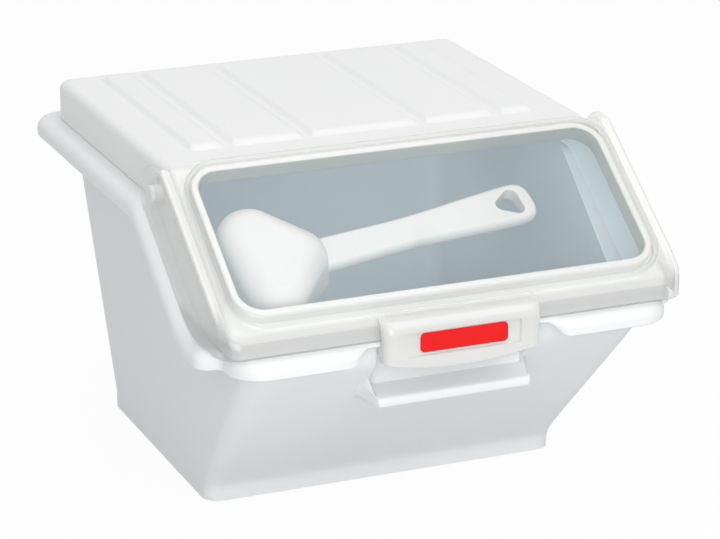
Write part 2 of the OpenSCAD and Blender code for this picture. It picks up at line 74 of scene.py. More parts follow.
WHITE: Colour = (1.0, 1.0, 1.0)
BLACK: Colour = (0.0, 0.0, 0.0)


class Slot(Enum):
    """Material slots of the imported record."""

    TUB = "tub_plastic"
    COVER = "cover_plastic"
    CLEAR = "clear_plastic"
    BADGE = "red_badge"
    SCOOP = "scoop_plastic"


class Body(Enum):
    """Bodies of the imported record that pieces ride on."""

    BIN = "bin"
    COVER = "cover"
    DOOR = "door"
    SCOOP = "scoop"


class Signal:
    """A shader socket that takes part in Python arithmetic."""

    def __init__(self, graph: Graph, socket: bpy.types.NodeSocket) -> None:
        """Keeps the socket and the graph that it belongs to."""
        self.graph = graph
        self.socket = socket

    def _math(self, operation: str, first: Signal | float, second: Signal | float) -> Signal:
        """Adds one Math node on two values."""
        return self.graph.add("ShaderNodeMath", {"operation": operation}, {0: first, 1: second})

    def __add__(self, other: Signal | float) -> Signal:
        """Sum of two values."""
        return self._math("ADD", self, other)

    __radd__ = __add__

    def __sub__(self, other: Signal | float) -> Signal:
        """Difference of two values."""
        return self._math("SUBTRACT", self, other)

    def __rsub__(self, other: float) -> Signal:
        """Difference with a plain number on the left."""
        return self._math("SUBTRACT", other, self)

    def __mul__(self, other: Signal | float) -> Signal:
        """Product of two values."""
        return self._math("MULTIPLY", self, other)

    __rmul__ = __mul__

    def larger(self, other: Signal | float) -> Signal:
        """The larger of two values."""
        return self._math("MAXIMUM", self, other)

    def absolute(self) -> Signal:
        """The value without its sign."""
        return self._math("ABSOLUTE", self, 0.0)

    def clamped(self) -> Signal:
        """The value kept between 0 and 1."""
        return self.graph.add("ShaderNodeClamp", None, {0: self})


class Graph:
    """Node tree of one material or of the world, with one way to add a node."""

    def __init__(self, tree: bpy.types.NodeTree) -> None:
        """Takes a tree over and empties it."""
        self.tree = tree
        tree.nodes.clear()

    def node(self, kind: str, settings: dict | None = None, inputs: dict | None = None) -> bpy.types.Node:
        """Adds a node, sets it up and feeds its sockets.

        Args:
            kind: Type of the node.
            settings: Properties, which are set first.
            inputs: Numbers, colours or signals by socket name or number.

        Returns:
            The node.
        """
        node = self.tree.nodes.new(kind)
        for key, value in (settings or {}).items():
            setattr(node, key, value)
        for key, value in (inputs or {}).items():
            if isinstance(value, Signal):
                self.tree.links.new(value.socket, node.inputs[key])
            else:
                node.inputs[key].default_value = (*value, 1.0) if isinstance(value, tuple) else value
        return node

    def add(self, kind: str, settings: dict | None = None, inputs: dict | None = None,
            output: int | str = 0) -> Signal:
        """Adds a node and reads one of its outputs, the first one unless it is named."""
        return Signal(self, self.node(kind, settings, inputs).outputs[output])

    def place(self) -> Signal:
        """Object coordinates, which are the frame's own metres."""
        return self.add("ShaderNodeTexCoord", output="Object")

    def mark(self) -> Signal:
        """The mark that points on the inside of a piece carry."""
        return self.add("ShaderNodeAttribute", {"attribute_name": INSIDE}, output="Fac")

    def noise(self, where: Signal, scale: float, detail: float = 2.0) -> Signal:
        """Noise value at a scale per metre."""
        return self.add("ShaderNodeTexNoise", None, {"Vector": where, "Scale": scale, "Detail": detail})

    def blend(self, share: Signal, low: Signal | Colour, high: Signal | Colour) -> Signal:
        """Mix of two colours by a share."""
        return self.add("ShaderNodeMix", {"data_type": "RGBA"}, {"Factor": share, 6: low, 7: high}, 2)

    def either(self, share: Signal | float, first: Signal, second: Signal) -> Signal:
        """Mix of two shaders by a share."""
        return self.add("ShaderNodeMixShader", None, {0: share, 1: first, 2: second})

    def bump(self, height: Signal, strength: float, distance: float) -> Signal:
        """Normal that a height field gives."""
        return self.add("ShaderNodeBump", None, {"Height": height, "Strength": strength, "Distance": distance})

    def surface(self, shader: Signal) -> None:
        """Sends a shader to the output of the material or the world."""
        lit = "World" if isinstance(self.tree.id_data, bpy.types.World) else "Material"
        self.node(f"ShaderNodeOutput{lit}", None, {"Surface": shader})


def new_material(name: str) -> tuple[bpy.types.Material, Graph]:
    """Makes an empty node material.

    Args:
        name: Name of the material.

    Returns:
        The material and its graph.
    """
    material = bpy.data.materials.new(name)
    material.use_nodes = True
    return material, Graph(material.node_tree)


@dataclass(frozen=True)
class MouldedPlastic:
    """Satin white plastic with the fine skin that a mould leaves.

    Points marked up to 1 take the inner colour, a painted shade, and those marked up to 2 the deep one, a painted
    bluish shade with a painted glow that stands in for the light that comes through the wall.
    """

    name: str
    colour: Colour
    shade: Colour
    roughness: float = 0.36
    # Painted shade colours for marked points, and the strength of their painted glow.
    inner: Colour | None = None
    deep: Colour | None = None
    through: float = 0.0
    cloud_scale: float = 9.0
    cloud_rough: float = 0.08
    flow_scale: float = 63.0
    flow_share: float = 0.6
    skin_scale: float = 650.0
    skin_rough: float = 0.06
    skin_bump: float = 0.35
    skin_depth: float = 0.00001
    refraction: float = 1.49
    specular: float = 0.3

    def make(self) -> bpy.types.Material:
        """Builds the material.

        Returns:
            The material.
        """
        material, graph = new_material(self.name)
        where = graph.place()
        cloud = graph.noise(where, self.cloud_scale, detail=3.0)
        skin = graph.noise(where, self.skin_scale, detail=4.0)
        flow = graph.noise(where, self.flow_scale)
        colour = graph.blend(cloud, self.shade, self.colour)
        glow = {}
        # Painted shade and glow: marked points take the inner and deep colours, and the deep colour glows as if lit
        # through the wall.
        if self.inner and self.deep:
            within = graph.mark()
            below = (within - 1.0).clamped()
            colour = graph.blend(below, graph.blend(within, colour, self.inner), self.deep)
            glow = {"Emission Color": graph.blend(below, BLACK, self.deep), "Emission Strength": self.through}
        graph.surface(graph.add("ShaderNodeBsdfPrincipled", None, {
            "Base Color": colour,
            "Roughness": self.roughness + self.cloud_rough * cloud + self.skin_rough * skin,
            "Normal": graph.bump(skin + self.flow_share * flow, self.skin_bump, self.skin_depth),
            "IOR": self.refraction, "Specular IOR Level": self.specular, **glow}))
        return material


@dataclass(frozen=True)
class ClearPlastic:
    """Clear glossy plastic: see-through face on, shining at grazing angles, milky in the thick grip.

    Points marked up to 1 are fully clear, and those marked down to -1 lie on the side beads and get a painted
    highlight of milky white. The skirt gets a painted shade. Places are in metres.
    """

    name: str
    tint: Colour = (0.982, 0.983, 0.978)
    edge_tint: Colour = (0.58, 0.58, 0.6)
    milk: Colour = (0.86, 0.86, 0.845)
    haze: float = 0.02
    wipe_haze: float = 0.02
    edge_haze: float = 0.5
    grip_haze: float = 0.62
    bead_painted_highlight: float = 0.65
    grip_half: float = 0.0475
    grip_side_fade: float = 900.0
    grip_top: float = 0.142
    grip_top_fade: float = 260.0
    skirt_top: float = 0.1405
    skirt_fade: float = 300.0
    skirt_shade: float = 0.22
    shine_least: float = 0.025
    shine_gain: float = 0.45
    shine_rough: float = 0.06
    shine_wipe: float = 0.04
    milk_rough: float = 0.2
    milk_wipe: float = 0.06
    wipe_scale: float = 26.0
    ripple_scale: float = 45.0
    ripple_bump: float = 0.06
    ripple_depth: float = 0.0002

    def make(self) -> bpy.types.Material:
        """Builds the material.

        Returns:
            The material.
        """
        material, graph = new_material(self.name)
        where = graph.place()
        across = graph.add("ShaderNodeSeparateXYZ", None, {0: where}, "X").absolute()
        height = graph.add("ShaderNodeSeparateXYZ", None, {0: where}, "Z")
        wipe = graph.noise(where, self.wipe_scale, detail=3.0)
        normal = graph.bump(graph.noise(where, self.ripple_scale), self.ripple_bump, self.ripple_depth)
        facing = graph.add("ShaderNodeLayerWeight", None, {"Blend": 0.5}, "Facing")
        square = facing * facing
        mark = graph.mark()
        within, bead = mark.clamped(), (-1.0 * mark).clamped()
        # Painted shade: the skirt below its top is darkened with the edge tint.
        skirt = ((self.skirt_top - height) * self.skirt_fade).clamped()
        grip_wide = ((self.grip_half - across) * self.grip_side_fade).clamped()
        grip = grip_wide * ((self.grip_top - height) * self.grip_top_fade).clamped()
        face_on, edge_on, bare = (graph.add("ShaderNodeBsdfTransparent", None, {"Color": colour})
                                  for colour in (self.tint, self.edge_tint, WHITE))
        tinted = (square * square * square + self.skirt_shade * skirt).clamped()
        through = graph.either(within, graph.either(tinted, face_on, edge_on), bare)
        shine = graph.add("ShaderNodeBsdfGlossy", None, {
            "Color": WHITE, "Roughness": self.shine_rough + self.shine_wipe * wipe, "Normal": normal})
        shining = (1.0 - within) * (self.shine_least + self.shine_gain * square * square * facing)
        body = graph.add("ShaderNodeBsdfPrincipled", None, {
            "Base Color": self.milk, "Roughness": self.milk_rough + self.milk_wipe * wipe, "Normal": normal})
        # The bead term paints a highlight of milky white along the side beads.
        milky = self.haze + self.wipe_haze * wipe + self.edge_haze * square * square
        milky = milky + self.grip_haze * grip + self.bead_painted_highlight * bead
        graph.surface(graph.either((milky - within).clamped(), graph.either(shining, through, shine), body))
        return material


@dataclass(frozen=True)
class GlossyRed:
    """Glossy red of the plain badge."""

    name: str
    colour: Colour = (0.80, 0.011, 0.011)
    shade: Colour = (0.75, 0.008, 0.009)
    roughness: float = 0.3
    cloud_scale: float = 60.0
    skin_scale: float = 220.0
    skin_rough: float = 0.06
    skin_bump: float = 0.1
    skin_depth: float = 0.00003
    specular: float = 0.2

    def make(self) -> bpy.types.Material:
        """Builds the material.

        Returns:
            The material.
        """
        material, graph = new_material(self.name)
        where = graph.place()
        cloud = graph.noise(where, self.cloud_scale)
        skin = graph.noise(where, self.skin_scale)
        graph.surface(graph.add("ShaderNodeBsdfPrincipled", None, {
            "Base Color": graph.blend(cloud, self.shade, self.colour),
            "Roughness": self.roughness + self.skin_rough * skin,
            "Normal": graph.bump(skin, self.skin_bump, self.skin_depth), "Specular IOR Level": self.specular}))
        return material


class Finishes:
    """Every finish of the bin, made once."""

    def __init__(self) -> None:
        """Makes the materials."""
        # Painted shade: the deep colour is a bluish shade painted on the inside of tub and cover, and the cover's
        # inner colour a darker shade painted on the coaming's inner face; through is the strength of a painted glow
        # for light that comes through the walls.
        deep = (0.8, 0.885, 0.925)
        self.tub = MouldedPlastic("white_tub", (0.84, 0.848, 0.852), (0.8, 0.812, 0.818),
                                  inner=deep, deep=deep, through=0.02).make()
        self.cover = MouldedPlastic("white_cover", (0.85, 0.853, 0.845), (0.815, 0.822, 0.815),
                                    inner=(0.5, 0.555, 0.55), deep=deep, through=0.13).make()
        self.clear = ClearPlastic("clear_door").make()
        self.badge = GlossyRed("red_badge_gloss").make()
        self.scoop = MouldedPlastic("white_scoop", (0.8, 0.815, 0.825), (0.775, 0.79, 0.8), 0.32).make()


def finish_piece(work: bmesh.types.BMesh, name: str, body: Body, material: bpy.types.Material,
                 node: str, smooth_to: float) -> bpy.types.Object:
    """Turns a mesh under construction into a dressed piece that rides on its body.

    Args:
        work: Mesh under construction, which is freed.
        name: Name of the piece.
        body: Body that it rides on.
        material: Finish.
        node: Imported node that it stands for.
        smooth_to: Largest angle, in degrees, that is shaded smooth.

    Returns:
        The new object.
    """
    mesh = bpy.data.meshes.new(name)
    bmesh.ops.recalc_face_normals(work, faces=work.faces)
    work.to_mesh(mesh)
    work.free()
    mesh.shade_smooth()
    mesh.set_sharp_from_angle(angle=math.radians(smooth_to))
    mesh.materials.append(material)
    piece = bpy.data.objects.new(name, mesh)
    bpy.context.scene.collection.objects.link(piece)
    weighted = piece.modifiers.new("even_shading", "WEIGHTED_NORMAL")
    weighted.keep_sharp = True
    weighted.weight = 80
    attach(piece, body.value)
    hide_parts(node)
    LOG.info("%s: %d faces", name, len(mesh.polygons))
    return piece


def spread(start: float, stop: float, count: int) -> list[float]:
    """Evenly spaced numbers, both ends included."""
    return [start + (stop - start) * i / (count - 1) for i in range(count)]


def mirrored(values: Iterable[float]) -> tuple[float, ...]:
    """The values and their negatives, in order."""
    return tuple(sorted({side * value for side in HANDS for value in values}))


def mix(low: float, high: float, share: float) -> float:
    """Number between two numbers."""
    return low + (high - low) * share


def ease(value: float, start: float, stop: float) -> float:
    """Smooth step from 0 at start to 1 at stop."""
    share = min(max((value - start) / (stop - start), 0.0), 1.0)
    return share * share * (3 - 2 * share)


def soft_ramp(value: float, bend: float) -> float:
    """Nought below nought and the value above it, with a soft bend between."""
    return 0.5 * (value + math.hypot(value, bend))


def heading(angle: float) -> Vector:
    """Level direction at an angle."""
    return Vector((math.cos(angle), math.sin(angle), 0.0))


def rounding(r: float, steps: int) -> list[Flat]:
    """How far a rounded edge is drawn in and lowered, from its side to its top."""
    return [(r * (1 - math.cos(a)), r * (1 - math.sin(a))) for a in spread(0.0, QUARTER, steps + 1)]


def arc(x: float, y: float, r: float, start: float, steps: int) -> list[Flat]:
    """Points inside a quarter turn round a middle, without its ends.

    Args:
        x: Middle, across.
        y: Middle, in depth.
        r: Radius.
        start: Angle in degrees where the turn starts.
        steps: Steps in the turn.

    Returns:
        The points.
    """
    turns = [math.radians(start + 90 * i / steps) for i in range(1, steps)]
    return [(x + r * math.cos(a), y + r * math.sin(a)) for a in turns]


def round_loop(half: float, front: float, back: float, r_front: float, r_back: float,
               sides: Sequence[float], fronts: Sequence[float], backs: int = 9, steps: int = 8) -> list[Flat]:
    """Rounded outline seen from above, from the left back corner round by the front.

    Args:
        half: Half of its width.
        front: Depth of its front.
        back: Depth of its back.
        r_front: Radius of the front corners.
        r_back: Radius of the back corners.
        sides: Shares of the straight side, from back to front, where points lie.
        fronts: Shares of half the straight front, from -1 to 1, where points lie.
        backs: Number of points along the back.
        steps: Steps in each corner.

    Returns:
        Points of the outline.
    """
    left = [(-half, mix(back - r_back, front + r_front, share)) for share in sides]
    across = [(share * (half - r_front), front) for share in fronts]
    rear = [(x, back) for x in spread(half - r_back, r_back - half, backs)]
    return (left + arc(-half + r_front, front + r_front, r_front, 180, steps) + across
            + arc(half - r_front, front + r_front, r_front, 270, steps) + [(-x, y) for x, y in left[::-1]]
            + arc(half - r_back, back - r_back, r_back, 0, steps) + rear
            + arc(-half + r_back, back - r_back, r_back, 90, steps))


def encloses(loop: Sequence[Vector], point: Vector) -> bool:
    """Whether a closed outline has a point inside it.

    Args:
        loop: Points of the outline.
        point: Point to test.

    Returns:
        True where the point is inside.
    """
    hit = False
    for i, a in enumerate(loop):
        b = loop[i - 1]
        if (a.y > point.y) != (b.y > point.y) and point.x < (b.x - a.x) * (point.y - a.y) / (b.y - a.y) + a.x:
            hit = not hit
    return hit


@dataclass(frozen=True)
class BinLines:
    """Lines that several pieces follow, in millimetres."""

    slope: float = math.radians(34.5)
    rim_h: float = 180.5
    lip_h: float = 126.5
    lip_y: float = -197.5
    slope_low_y: float = -143.0
    slope_top_y: float = -64.43
    low_bend: float = 45.0
    top_bend: float = 20.0
    fold_y: float = -91.72
    cover_top: float = 204.5
    hinge_y: float = -79.22
    hinge_z: float = 188.5
    scoop_x: float = -51.0
    scoop_down: float = 59.97
    scoop_yaw: float = math.radians(8.0)
    waist_u: float = 49.4

    @property
    def low_start(self) -> float:
        """Where the rim starts to rise behind the lip."""
        return self.slope_low_y - self.low_bend * math.tan(self.slope / 2)

    @property
    def level_end(self) -> float:
        """Where the level rim starts to fall."""
        return self.slope_top_y + self.top_bend * math.tan(self.slope / 2)

    def rim_tilt(self, y: float) -> float:
        """Tilt of the rim at a depth.

        Args:
            y: Depth.

        Returns:
            Angle in radians.
        """
        if y <= self.low_start or y >= self.level_end:
            return 0.0
        rise = math.asin(min((y - self.low_start) / self.low_bend, 1.0))
        fall = math.asin(min((self.level_end - y) / self.top_bend, 1.0))
        return min(rise, fall, self.slope)

    def rim_z(self, y: float) -> float:
        """Height of the rim's upper face at a depth.

        Args:
            y: Depth.

        Returns:
            Height.
        """
        tilt = self.rim_tilt(y)
        if tilt < self.slope:
            if y < self.slope_low_y + self.low_bend:
                return self.lip_h + self.low_bend * (1 - math.cos(tilt))
            return self.rim_h - self.top_bend * (1 - math.cos(tilt))
        return self.lip_h + (y - self.slope_low_y) * math.tan(self.slope)

    def frame_z(self, y: float, lift: float) -> float:
        """Height of the window frame's plane, moved out by a lift, at a depth."""
        return self.cover_top + lift / math.cos(self.slope) + (y - self.fold_y) * math.tan(self.slope)

    def on_window(self, x: float, down: float, lift: float) -> Vector:
        """Point given by its place on the window frame: across, down the slope, out."""
        sin, cos = math.sin(self.slope), math.cos(self.slope)
        return Vector((x, self.fold_y - down * cos - lift * sin, self.cover_top - down * sin + lift * cos))

    def on_scoop(self, u: float, v: float, lift: float) -> Vector:
        """Point given along the scoop's grip, across it and out from the window frame."""
        sin, cos = math.sin(self.scoop_yaw), math.cos(self.scoop_yaw)
        return self.on_window(self.scoop_x + u * cos - v * sin, self.scoop_down - u * sin - v * cos, lift)

    def off_hinge(self, x: float, r: float, angle: float) -> Vector:
        """Point beside the hinge's line: across, its distance from the line and its angle round it."""
        return Vector((x, self.hinge_y + r * math.cos(angle), self.hinge_z + r * math.sin(angle)))

    def round_hinge(self, x: float, r: float, count: int) -> list[Vector]:
        """Circle of points round the hinge's line."""
        return [self.off_hinge(x, r, 2 * math.pi * i / count) for i in range(count)]


LINES = BinLines()


class Skin:
    """A mesh under construction, built from rows of points in millimetres."""

    weld = 0.002
    speck = 0.001

    def __init__(self) -> None:
        """Starts an empty mesh, whose points can carry a mark for the inside."""
        self.work = bmesh.new()
        self.inside = self.work.verts.layers.float.new(INSIDE)

    def row(self, points: Iterable[Point]) -> list[Vert]:
        """Adds a row of points."""
        return [self.work.verts.new(Vector(p) * MM) for p in points]

    def face(self, verts: Sequence[Vert]) -> None:
        """Adds one face, without points that repeat.

        Args:
            verts: Points round the face.
        """
        kept = [v for i, v in enumerate(verts) if v is not verts[i - 1]]
        if len(kept) > 2:
            self.work.faces.new(kept)

    def join(self, rows: Sequence[Sequence[Vert]], closed: bool = True) -> None:
        """Joins rows of the same length with quads, each one to the next.

        Args:
            rows: Rows of the mesh's own points.
            closed: Whether the rows run round.
        """
        for low, high in zip(rows, rows[1:]):
            for i in range(len(low) if closed else len(low) - 1):
                k = (i + 1) % len(low)
                self.face((low[i], low[k], high[k], high[i]))

    def loft(self, rows: Iterable[Iterable[Point]], caps: bool = True) -> list[list[Vert]]:
        """Adds closed rows and joins them.

        Args:
            rows: Rows of points.
            caps: Whether a face closes each end.

        Returns:
            The rows of the mesh's own points.
        """
        made = [self.row(points) for points in rows]
        self.join(made)
        if caps:
            self.face(made[0][::-1])
            self.face(made[-1])
        return made

    def ring(self, rows: Iterable[Iterable[Point]]) -> list[list[Vert]]:
        """Adds closed rows and joins them into a ring, the last one to the first.

        Args:
            rows: Rows of points.

        Returns:
            The rows of the mesh's own points.
        """
        made = [self.row(points) for points in rows]
        self.join([*made, made[0]])
        return made

    def mark_inside(self, rows: Iterable[Sequence[Vert]], level: float | Callable[[float], float]) -> None:
        """Marks rows of points for the finish.

        Args:
            rows: Rows of the mesh's own points.
            level: Mark, or what gives it at a depth.
        """
        for vert in (vert for row in rows for vert in row):
            vert[self.inside] = level(vert.co.y / MM) if callable(level) else level

    def fill(self, outline: list[Vert], hole: list[Vert], ties: Sequence[tuple[int, int]] = ()) -> None:
        """Fills the area between an outline and a hole, seen from above.

        Args:
            outline: Points round the area.
            hole: Points round the hole.
            ties: Pairs of points of the outline that an edge has to join.
        """
        verts = outline + hole
        flat = [Vector((v.co.x, v.co.y)) for v in verts]
        n, m = len(outline), len(hole)
        edges = [(i, (i + 1) % n) for i in range(n)] + [(n + i, n + (i + 1) % m) for i in range(m)]
        _, _, faces, source, _, _ = delaunay_2d_cdt(flat, edges + list(ties), [], 0, 1e-9)
        for face in faces:
            if any(not source[i] for i in face):
                continue
            middle = sum((flat[source[i][0]] for i in face), Vector((0.0, 0.0))) / len(face)
            if encloses(flat[:n], middle) and not encloses(flat[n:], middle):
                self.face([verts[source[i][0]] for i in face])

    def thicken(self, thick: float) -> None:
        """Gives an open sheet a thickness on its inner side and closes its edge.

        Args:
            thick: Thickness.
        """
        self.work.normal_update()
        faces, verts = self.work.faces[:], self.work.verts[:]
        open_edges = (e.link_loops[0] for e in self.work.edges if len(e.link_faces) == 1)
        rims = [(loop.vert, loop.link_loop_next.vert) for loop in open_edges]
        inner = {v: self.work.verts.new(v.co - v.normal * thick * MM) for v in verts}
        for face in faces:
            self.work.faces.new([inner[v] for v in reversed(face.verts)])
        for first, second in rims:
            self.work.faces.new((second, first, inner[first], inner[second]))

    def tidy(self) -> None:
        """Drops points that lie on each other and faces that have no area."""
        bmesh.ops.remove_doubles(self.work, verts=self.work.verts, dist=self.weld * MM)
        bmesh.ops.dissolve_degenerate(self.work, dist=self.speck * MM, edges=self.work.edges)


@dataclass
class Moulding:
    """A piece that is built row by row, in millimetres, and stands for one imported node."""

    node: str = ""
    name: str = ""
    body: Body = Body.BIN
    slot: Slot = Slot.TUB
    smooth_to: float = 40.0
    skin: Skin = field(default_factory=Skin, init=False)

    def shape(self) -> None:
        """Builds the mesh, which each piece does in its own way."""
        raise NotImplementedError

    def build(self, material: bpy.types.Material) -> bpy.types.Object:
        """Makes the piece.

        Args:
            material: Finish of the piece.

        Returns:
            The new object.
        """
        self.shape()
        return finish_piece(self.skin.work, self.name, self.body, material, self.node, self.smooth_to)


@dataclass
class Tub(Moulding):
    """Open tub with leaning walls, a finger pocket with its ledge, and a rolled rim."""

    node: str = "bin_body"
    name: str = "tub"
    body: Body = Body.BIN
    slot: Slot = Slot.TUB

    foot_half: float = 110.0
    foot_deep: float = 86.0
    foot_h: float = 10.5
    foot_edge: float = 1.6
    foot_bend: float = 5.0
    rise: float = 170.0
    side_flare: float = 16.5
    back_flare: float = 24.0
    wall: float = 3.0
    wall_overlap: float = 0.05
    wall_front: float = -186.0
    lip_bend: float = 4.0
    lean_from: float = 16.5
    lean_to: float = 104.0
    corner_r: float = 10.0
    corner_least: float = 2.0
    front_corner_grow: float = 14.0
    back_corner_grow: float = 6.0

    pocket_half: float = 45.0
    pocket_fade: float = 1.4
    pocket_y: float = -172.5
    press_start: float = 0.2
    press_back: float = -112.5
    clear_low: float = 84.0
    clear_back: float = -150.0
    clear_half: float = 47.0
    clear_fade: float = 4.0
    # Depth and height of each pressed row.
    pocket_profile: Sequence[Flat] = (
        (-176.5, 94.4), (-173.6, 95.6), (-172.5, 98.5), (-172.5, 108.0), (-172.5, 118.0), (-173.5, 120.2),
        (-186.0, 120.6))
    ledge_half: float = 46.0
    ledge_fade: float = 3.4
    ledge_row: int = 11
    ledge_profile: Sequence[Flat] = (
        (-160.5, 84.0), (-172.0, 84.6), (-184.0, 85.6), (-186.8, 86.4), (-187.5, 88.0), (-187.3, 90.6),
        (-186.2, 91.8), (-184.0, 92.2))

    rim_half: float = 144.0
    rim_back: float = 131.0
    rim_corner: float = 18.0
    rim_roll: float = 7.0
    rim_drop: float = 11.0
    rim_t: float = 3.0
    roll_least: float = 0.4
    lip_half: float = 131.0
    lip_corner: float = 20.0
    lip_step: float = 13.0
    step_r: float = 4.0
    gap_half: float = 53.0
    gap_fade: float = 12.0
    gap_y: float = -191.5
    gap_roll: float = 2.4
    gap_drop: float = 3.2
    lip_back: float = 1.5
    lip_wall_r: float = 3.0
    back_wall: Flat = (110.5, 94.0)
    back_wall_r: float = 14.5

    fronts: Sequence[float] = mirrored((
        0.0, 0.12, 0.24, 0.36, 0.42, 0.445, 0.458, 0.47, 0.48, 0.5, 0.56, 0.66, 0.78, 0.9, 1.0))
    sides: Sequence[float] = tuple(spread(0.0, 1.0, 29))
    last_level: float = 114.0
    under_rim: float = 0.4
    rounds: int = 5
    outer_levels: Sequence[float] = (
        0.5, 2.0, 6.0, 9.0, 11.0, 14.0, 19.0, 30.0, 50.0, 70.0, 80.0, 83.0, 85.0, 87.0, 89.0, 91.0, 93.0, 95.0,
        97.0, 99.0, 102.0, 106.0, 110.0, 114.0)
    outer_shares: Sequence[float] = (0.3, 0.6, 1.0)
    inner_shares: Sequence[float] = (1.0, 0.5)
    inner_levels: Sequence[float] = (
        114.0, 110.0, 104.0, 96.0, 88.0, 80.0, 60.0, 40.0, 24.0, 15.0, 10.0)
    # How far in and how high the rows of the floor's edge lie.
    floor_rows: Sequence[Flat] = ((3.4, 7.0), (4.8, 4.4), (7.5, 3.2), (11.0, 3.0))
    lip_places: Sequence[float] = (0.0, 30.0, 50.0, 54.0, 57.0, 60.0, 63.0, 66.0, 70.0, 90.0)
    step_places: Sequence[float] = (1.5, 3.1, 4.7, 6.3, 7.9, 9.6, 11.2, 12.8, 14.4)
    level_places: Sequence[float] = tuple(spread(-40.0, 90.0, 4))

    def shape(self) -> None:
        """Builds the walls and the rim."""
        self.walls()
        self.rim()
        self.skin.tidy()

    def front_at(self, z: float) -> float:
        """Depth of the front wall at a height, with soft bends at the foot and below the lip."""
        bent = -self.foot_deep - soft_ramp(z - self.foot_h, self.foot_bend)
        return bent + soft_ramp(self.wall_front - bent, self.lip_bend)

    def outline(self, z: float, inset: float) -> list[Flat]:
        """Outline of the walls at a height.

        Args:
            z: Height.
            inset: How far it is drawn in.

        Returns:
            Points of the outline.
        """
        grow = max(z - self.foot_h, 0.0) / self.rise
        lean = math.sqrt(2.0) if self.lean_from < z < self.lean_to else 1.0
        return round_loop(
            self.foot_half + self.side_flare * grow - inset, self.front_at(z) + inset * lean,
            self.foot_deep + self.back_flare * grow - inset,
            max(self.corner_r + self.front_corner_grow * grow - inset, self.corner_least),
            max(self.corner_r + self.back_corner_grow * grow - inset, self.corner_least),
            self.sides, self.fronts)

    def level_rows(self, levels: Iterable[float], inset: float) -> list[list[Vector]]:
        """Level rows of points round the walls."""
        return [[Vector((x, y, z)) for x, y in self.outline(z, inset)] for z in levels]

    def upper_rows(self, shares: Iterable[float], inset: float) -> list[list[Vector]]:
        """Rows between the last level one and the rim.

        Args:
            shares: Shares of the way to the rim.
            inset: How far the rows are drawn in.

        Returns:
            The rows.
        """
        tops = [self.last_level] * len(self.outline(self.last_level, inset))
        for _ in range(self.rounds):
            tops = [LINES.rim_z(self.outline(z, inset)[k][1]) - self.under_rim for k, z in enumerate(tops)]
        rows = []
        for share in shares:
            levels = [mix(self.last_level, top, share) for top in tops]
            rows.append([Vector((*self.outline(z, inset)[k], z)) for k, z in enumerate(levels)])
        return rows

    def press(self, rows: list[list[Vector]], profile: Sequence[Flat], reach: float, fade: float) -> None:
        """Presses a profile into the front of the outer wall.

        Args:
            rows: Rows of the outer wall from the first pressed one on, changed in place.
            profile: Depth and height of each pressed row.
            reach: Half of the width that is fully pressed.
            fade: Width over which the press runs out.
        """
        for row, (y, z) in zip(rows, profile):
            for point in row:
                if point.y <= self.press_back:
                    share = 1 - ease(abs(point.x), reach - self.press_start, reach + fade)
                    point.y = mix(point.y, y, share)
                    point.z = mix(point.z, z, share)

    def clear_pocket(self, rows: list[list[Vector]]) -> None:
        """Keeps the inner wall behind the finger pocket.

        Args:
            rows: Rows of the inner wall, changed in place.
        """
        for point in (point for row in rows for point in row):
            if point.z > self.clear_low and point.y < self.clear_back:
                share = 1 - ease(abs(point.x), self.clear_half, self.clear_half + self.clear_fade)
                point.y = mix(point.y, max(point.y, self.pocket_y + self.wall), share)

    def walls(self) -> None:
        """Adds the shell of floor and walls, with the finger pocket and its ledge."""
        outer = self.level_rows(self.outer_levels, 0.0) + self.upper_rows(self.outer_shares, 0.0)
        pocket_row = self.ledge_row + len(self.ledge_profile)
        self.press(outer[self.ledge_row:], self.ledge_profile, self.ledge_half, self.ledge_fade)
        self.press(outer[pocket_row:], self.pocket_profile, self.pocket_half, self.pocket_fade)
        inner = self.upper_rows(self.inner_shares, self.wall) + self.level_rows(self.inner_levels, self.wall)
        self.clear_pocket(inner)
        under = ((self.foot_edge, 0.0), *self.floor_rows)
        foot, *floor = ([Vector((x, y, z)) for x, y in self.outline(0.0, inset)] for inset, z in under)
        rows = self.skin.loft([foot, *outer, *inner, *floor])
        # The inner walls and the floor inside take the painted bluish shade and glow.
        self.skin.mark_inside(rows[len(outer) + 1:], DEEP_PAINTED_SHADE)

    def section(self, edge: Vector, out: Vector, inner: Vector, up: Vector = UP, form: float = 1.0) -> list[Vector]:
        """Section of the rim at one place.

        Args:
            edge: Outermost point, at the level of the upper face.
            out: Way out.
            inner: Where the plate ends inside the wall.
            up: Way up.
            form: How far the roll is formed, which is least in the gap over the pocket.

        Returns:
            Points round the section.
        """
        roll, drop = mix(self.gap_roll, self.rim_roll, form), mix(self.gap_drop, self.rim_drop, form)
        turns, t = spread(0.0, QUARTER, 9), self.rim_t
        over = [(roll * (math.sin(a) - 1), roll * (math.cos(a) - 1)) for a in turns]
        deep = max(roll - t, self.roll_least)
        under = [(deep * math.sin(a) - roll, deep * math.cos(a) - roll) for a in turns[::-1]]
        foot = [(-0.2, 0.5 - drop), (-0.8, -drop), (0.8 - t, -drop), (0.2 - t, 0.5 - drop)]
        rolled = [edge + q * out + w * up for q, w in over + foot + under]
        return [inner, inner.lerp(rolled[0], 0.5), *rolled, inner - t * up]

    def wall_x(self, z: float) -> float:
        """Place of the side wall's inner face at a height."""
        return self.foot_half + self.side_flare * (z - self.foot_h) / self.rise - self.wall + self.wall_overlap

    def round_corner(self, middle: Flat, r: float, wall: Flat, wall_r: float, z: float,
                     start: float) -> list[list[Vector]]:
        """Sections round a level corner of the rim.

        Args:
            middle: Middle of the outer turn.
            r: Its radius.
            wall: Middle of the turn inside the wall.
            wall_r: Its radius.
            z: Height.
            start: Angle in degrees where the turn starts.

        Returns:
            The sections.
        """
        sections = []
        for angle in spread(start, start + 90, 9):
            out = heading(math.radians(angle))
            sections.append(self.section(Vector((*middle, z)) + r * out, out, Vector((*wall, z)) + wall_r * out))
        return sections

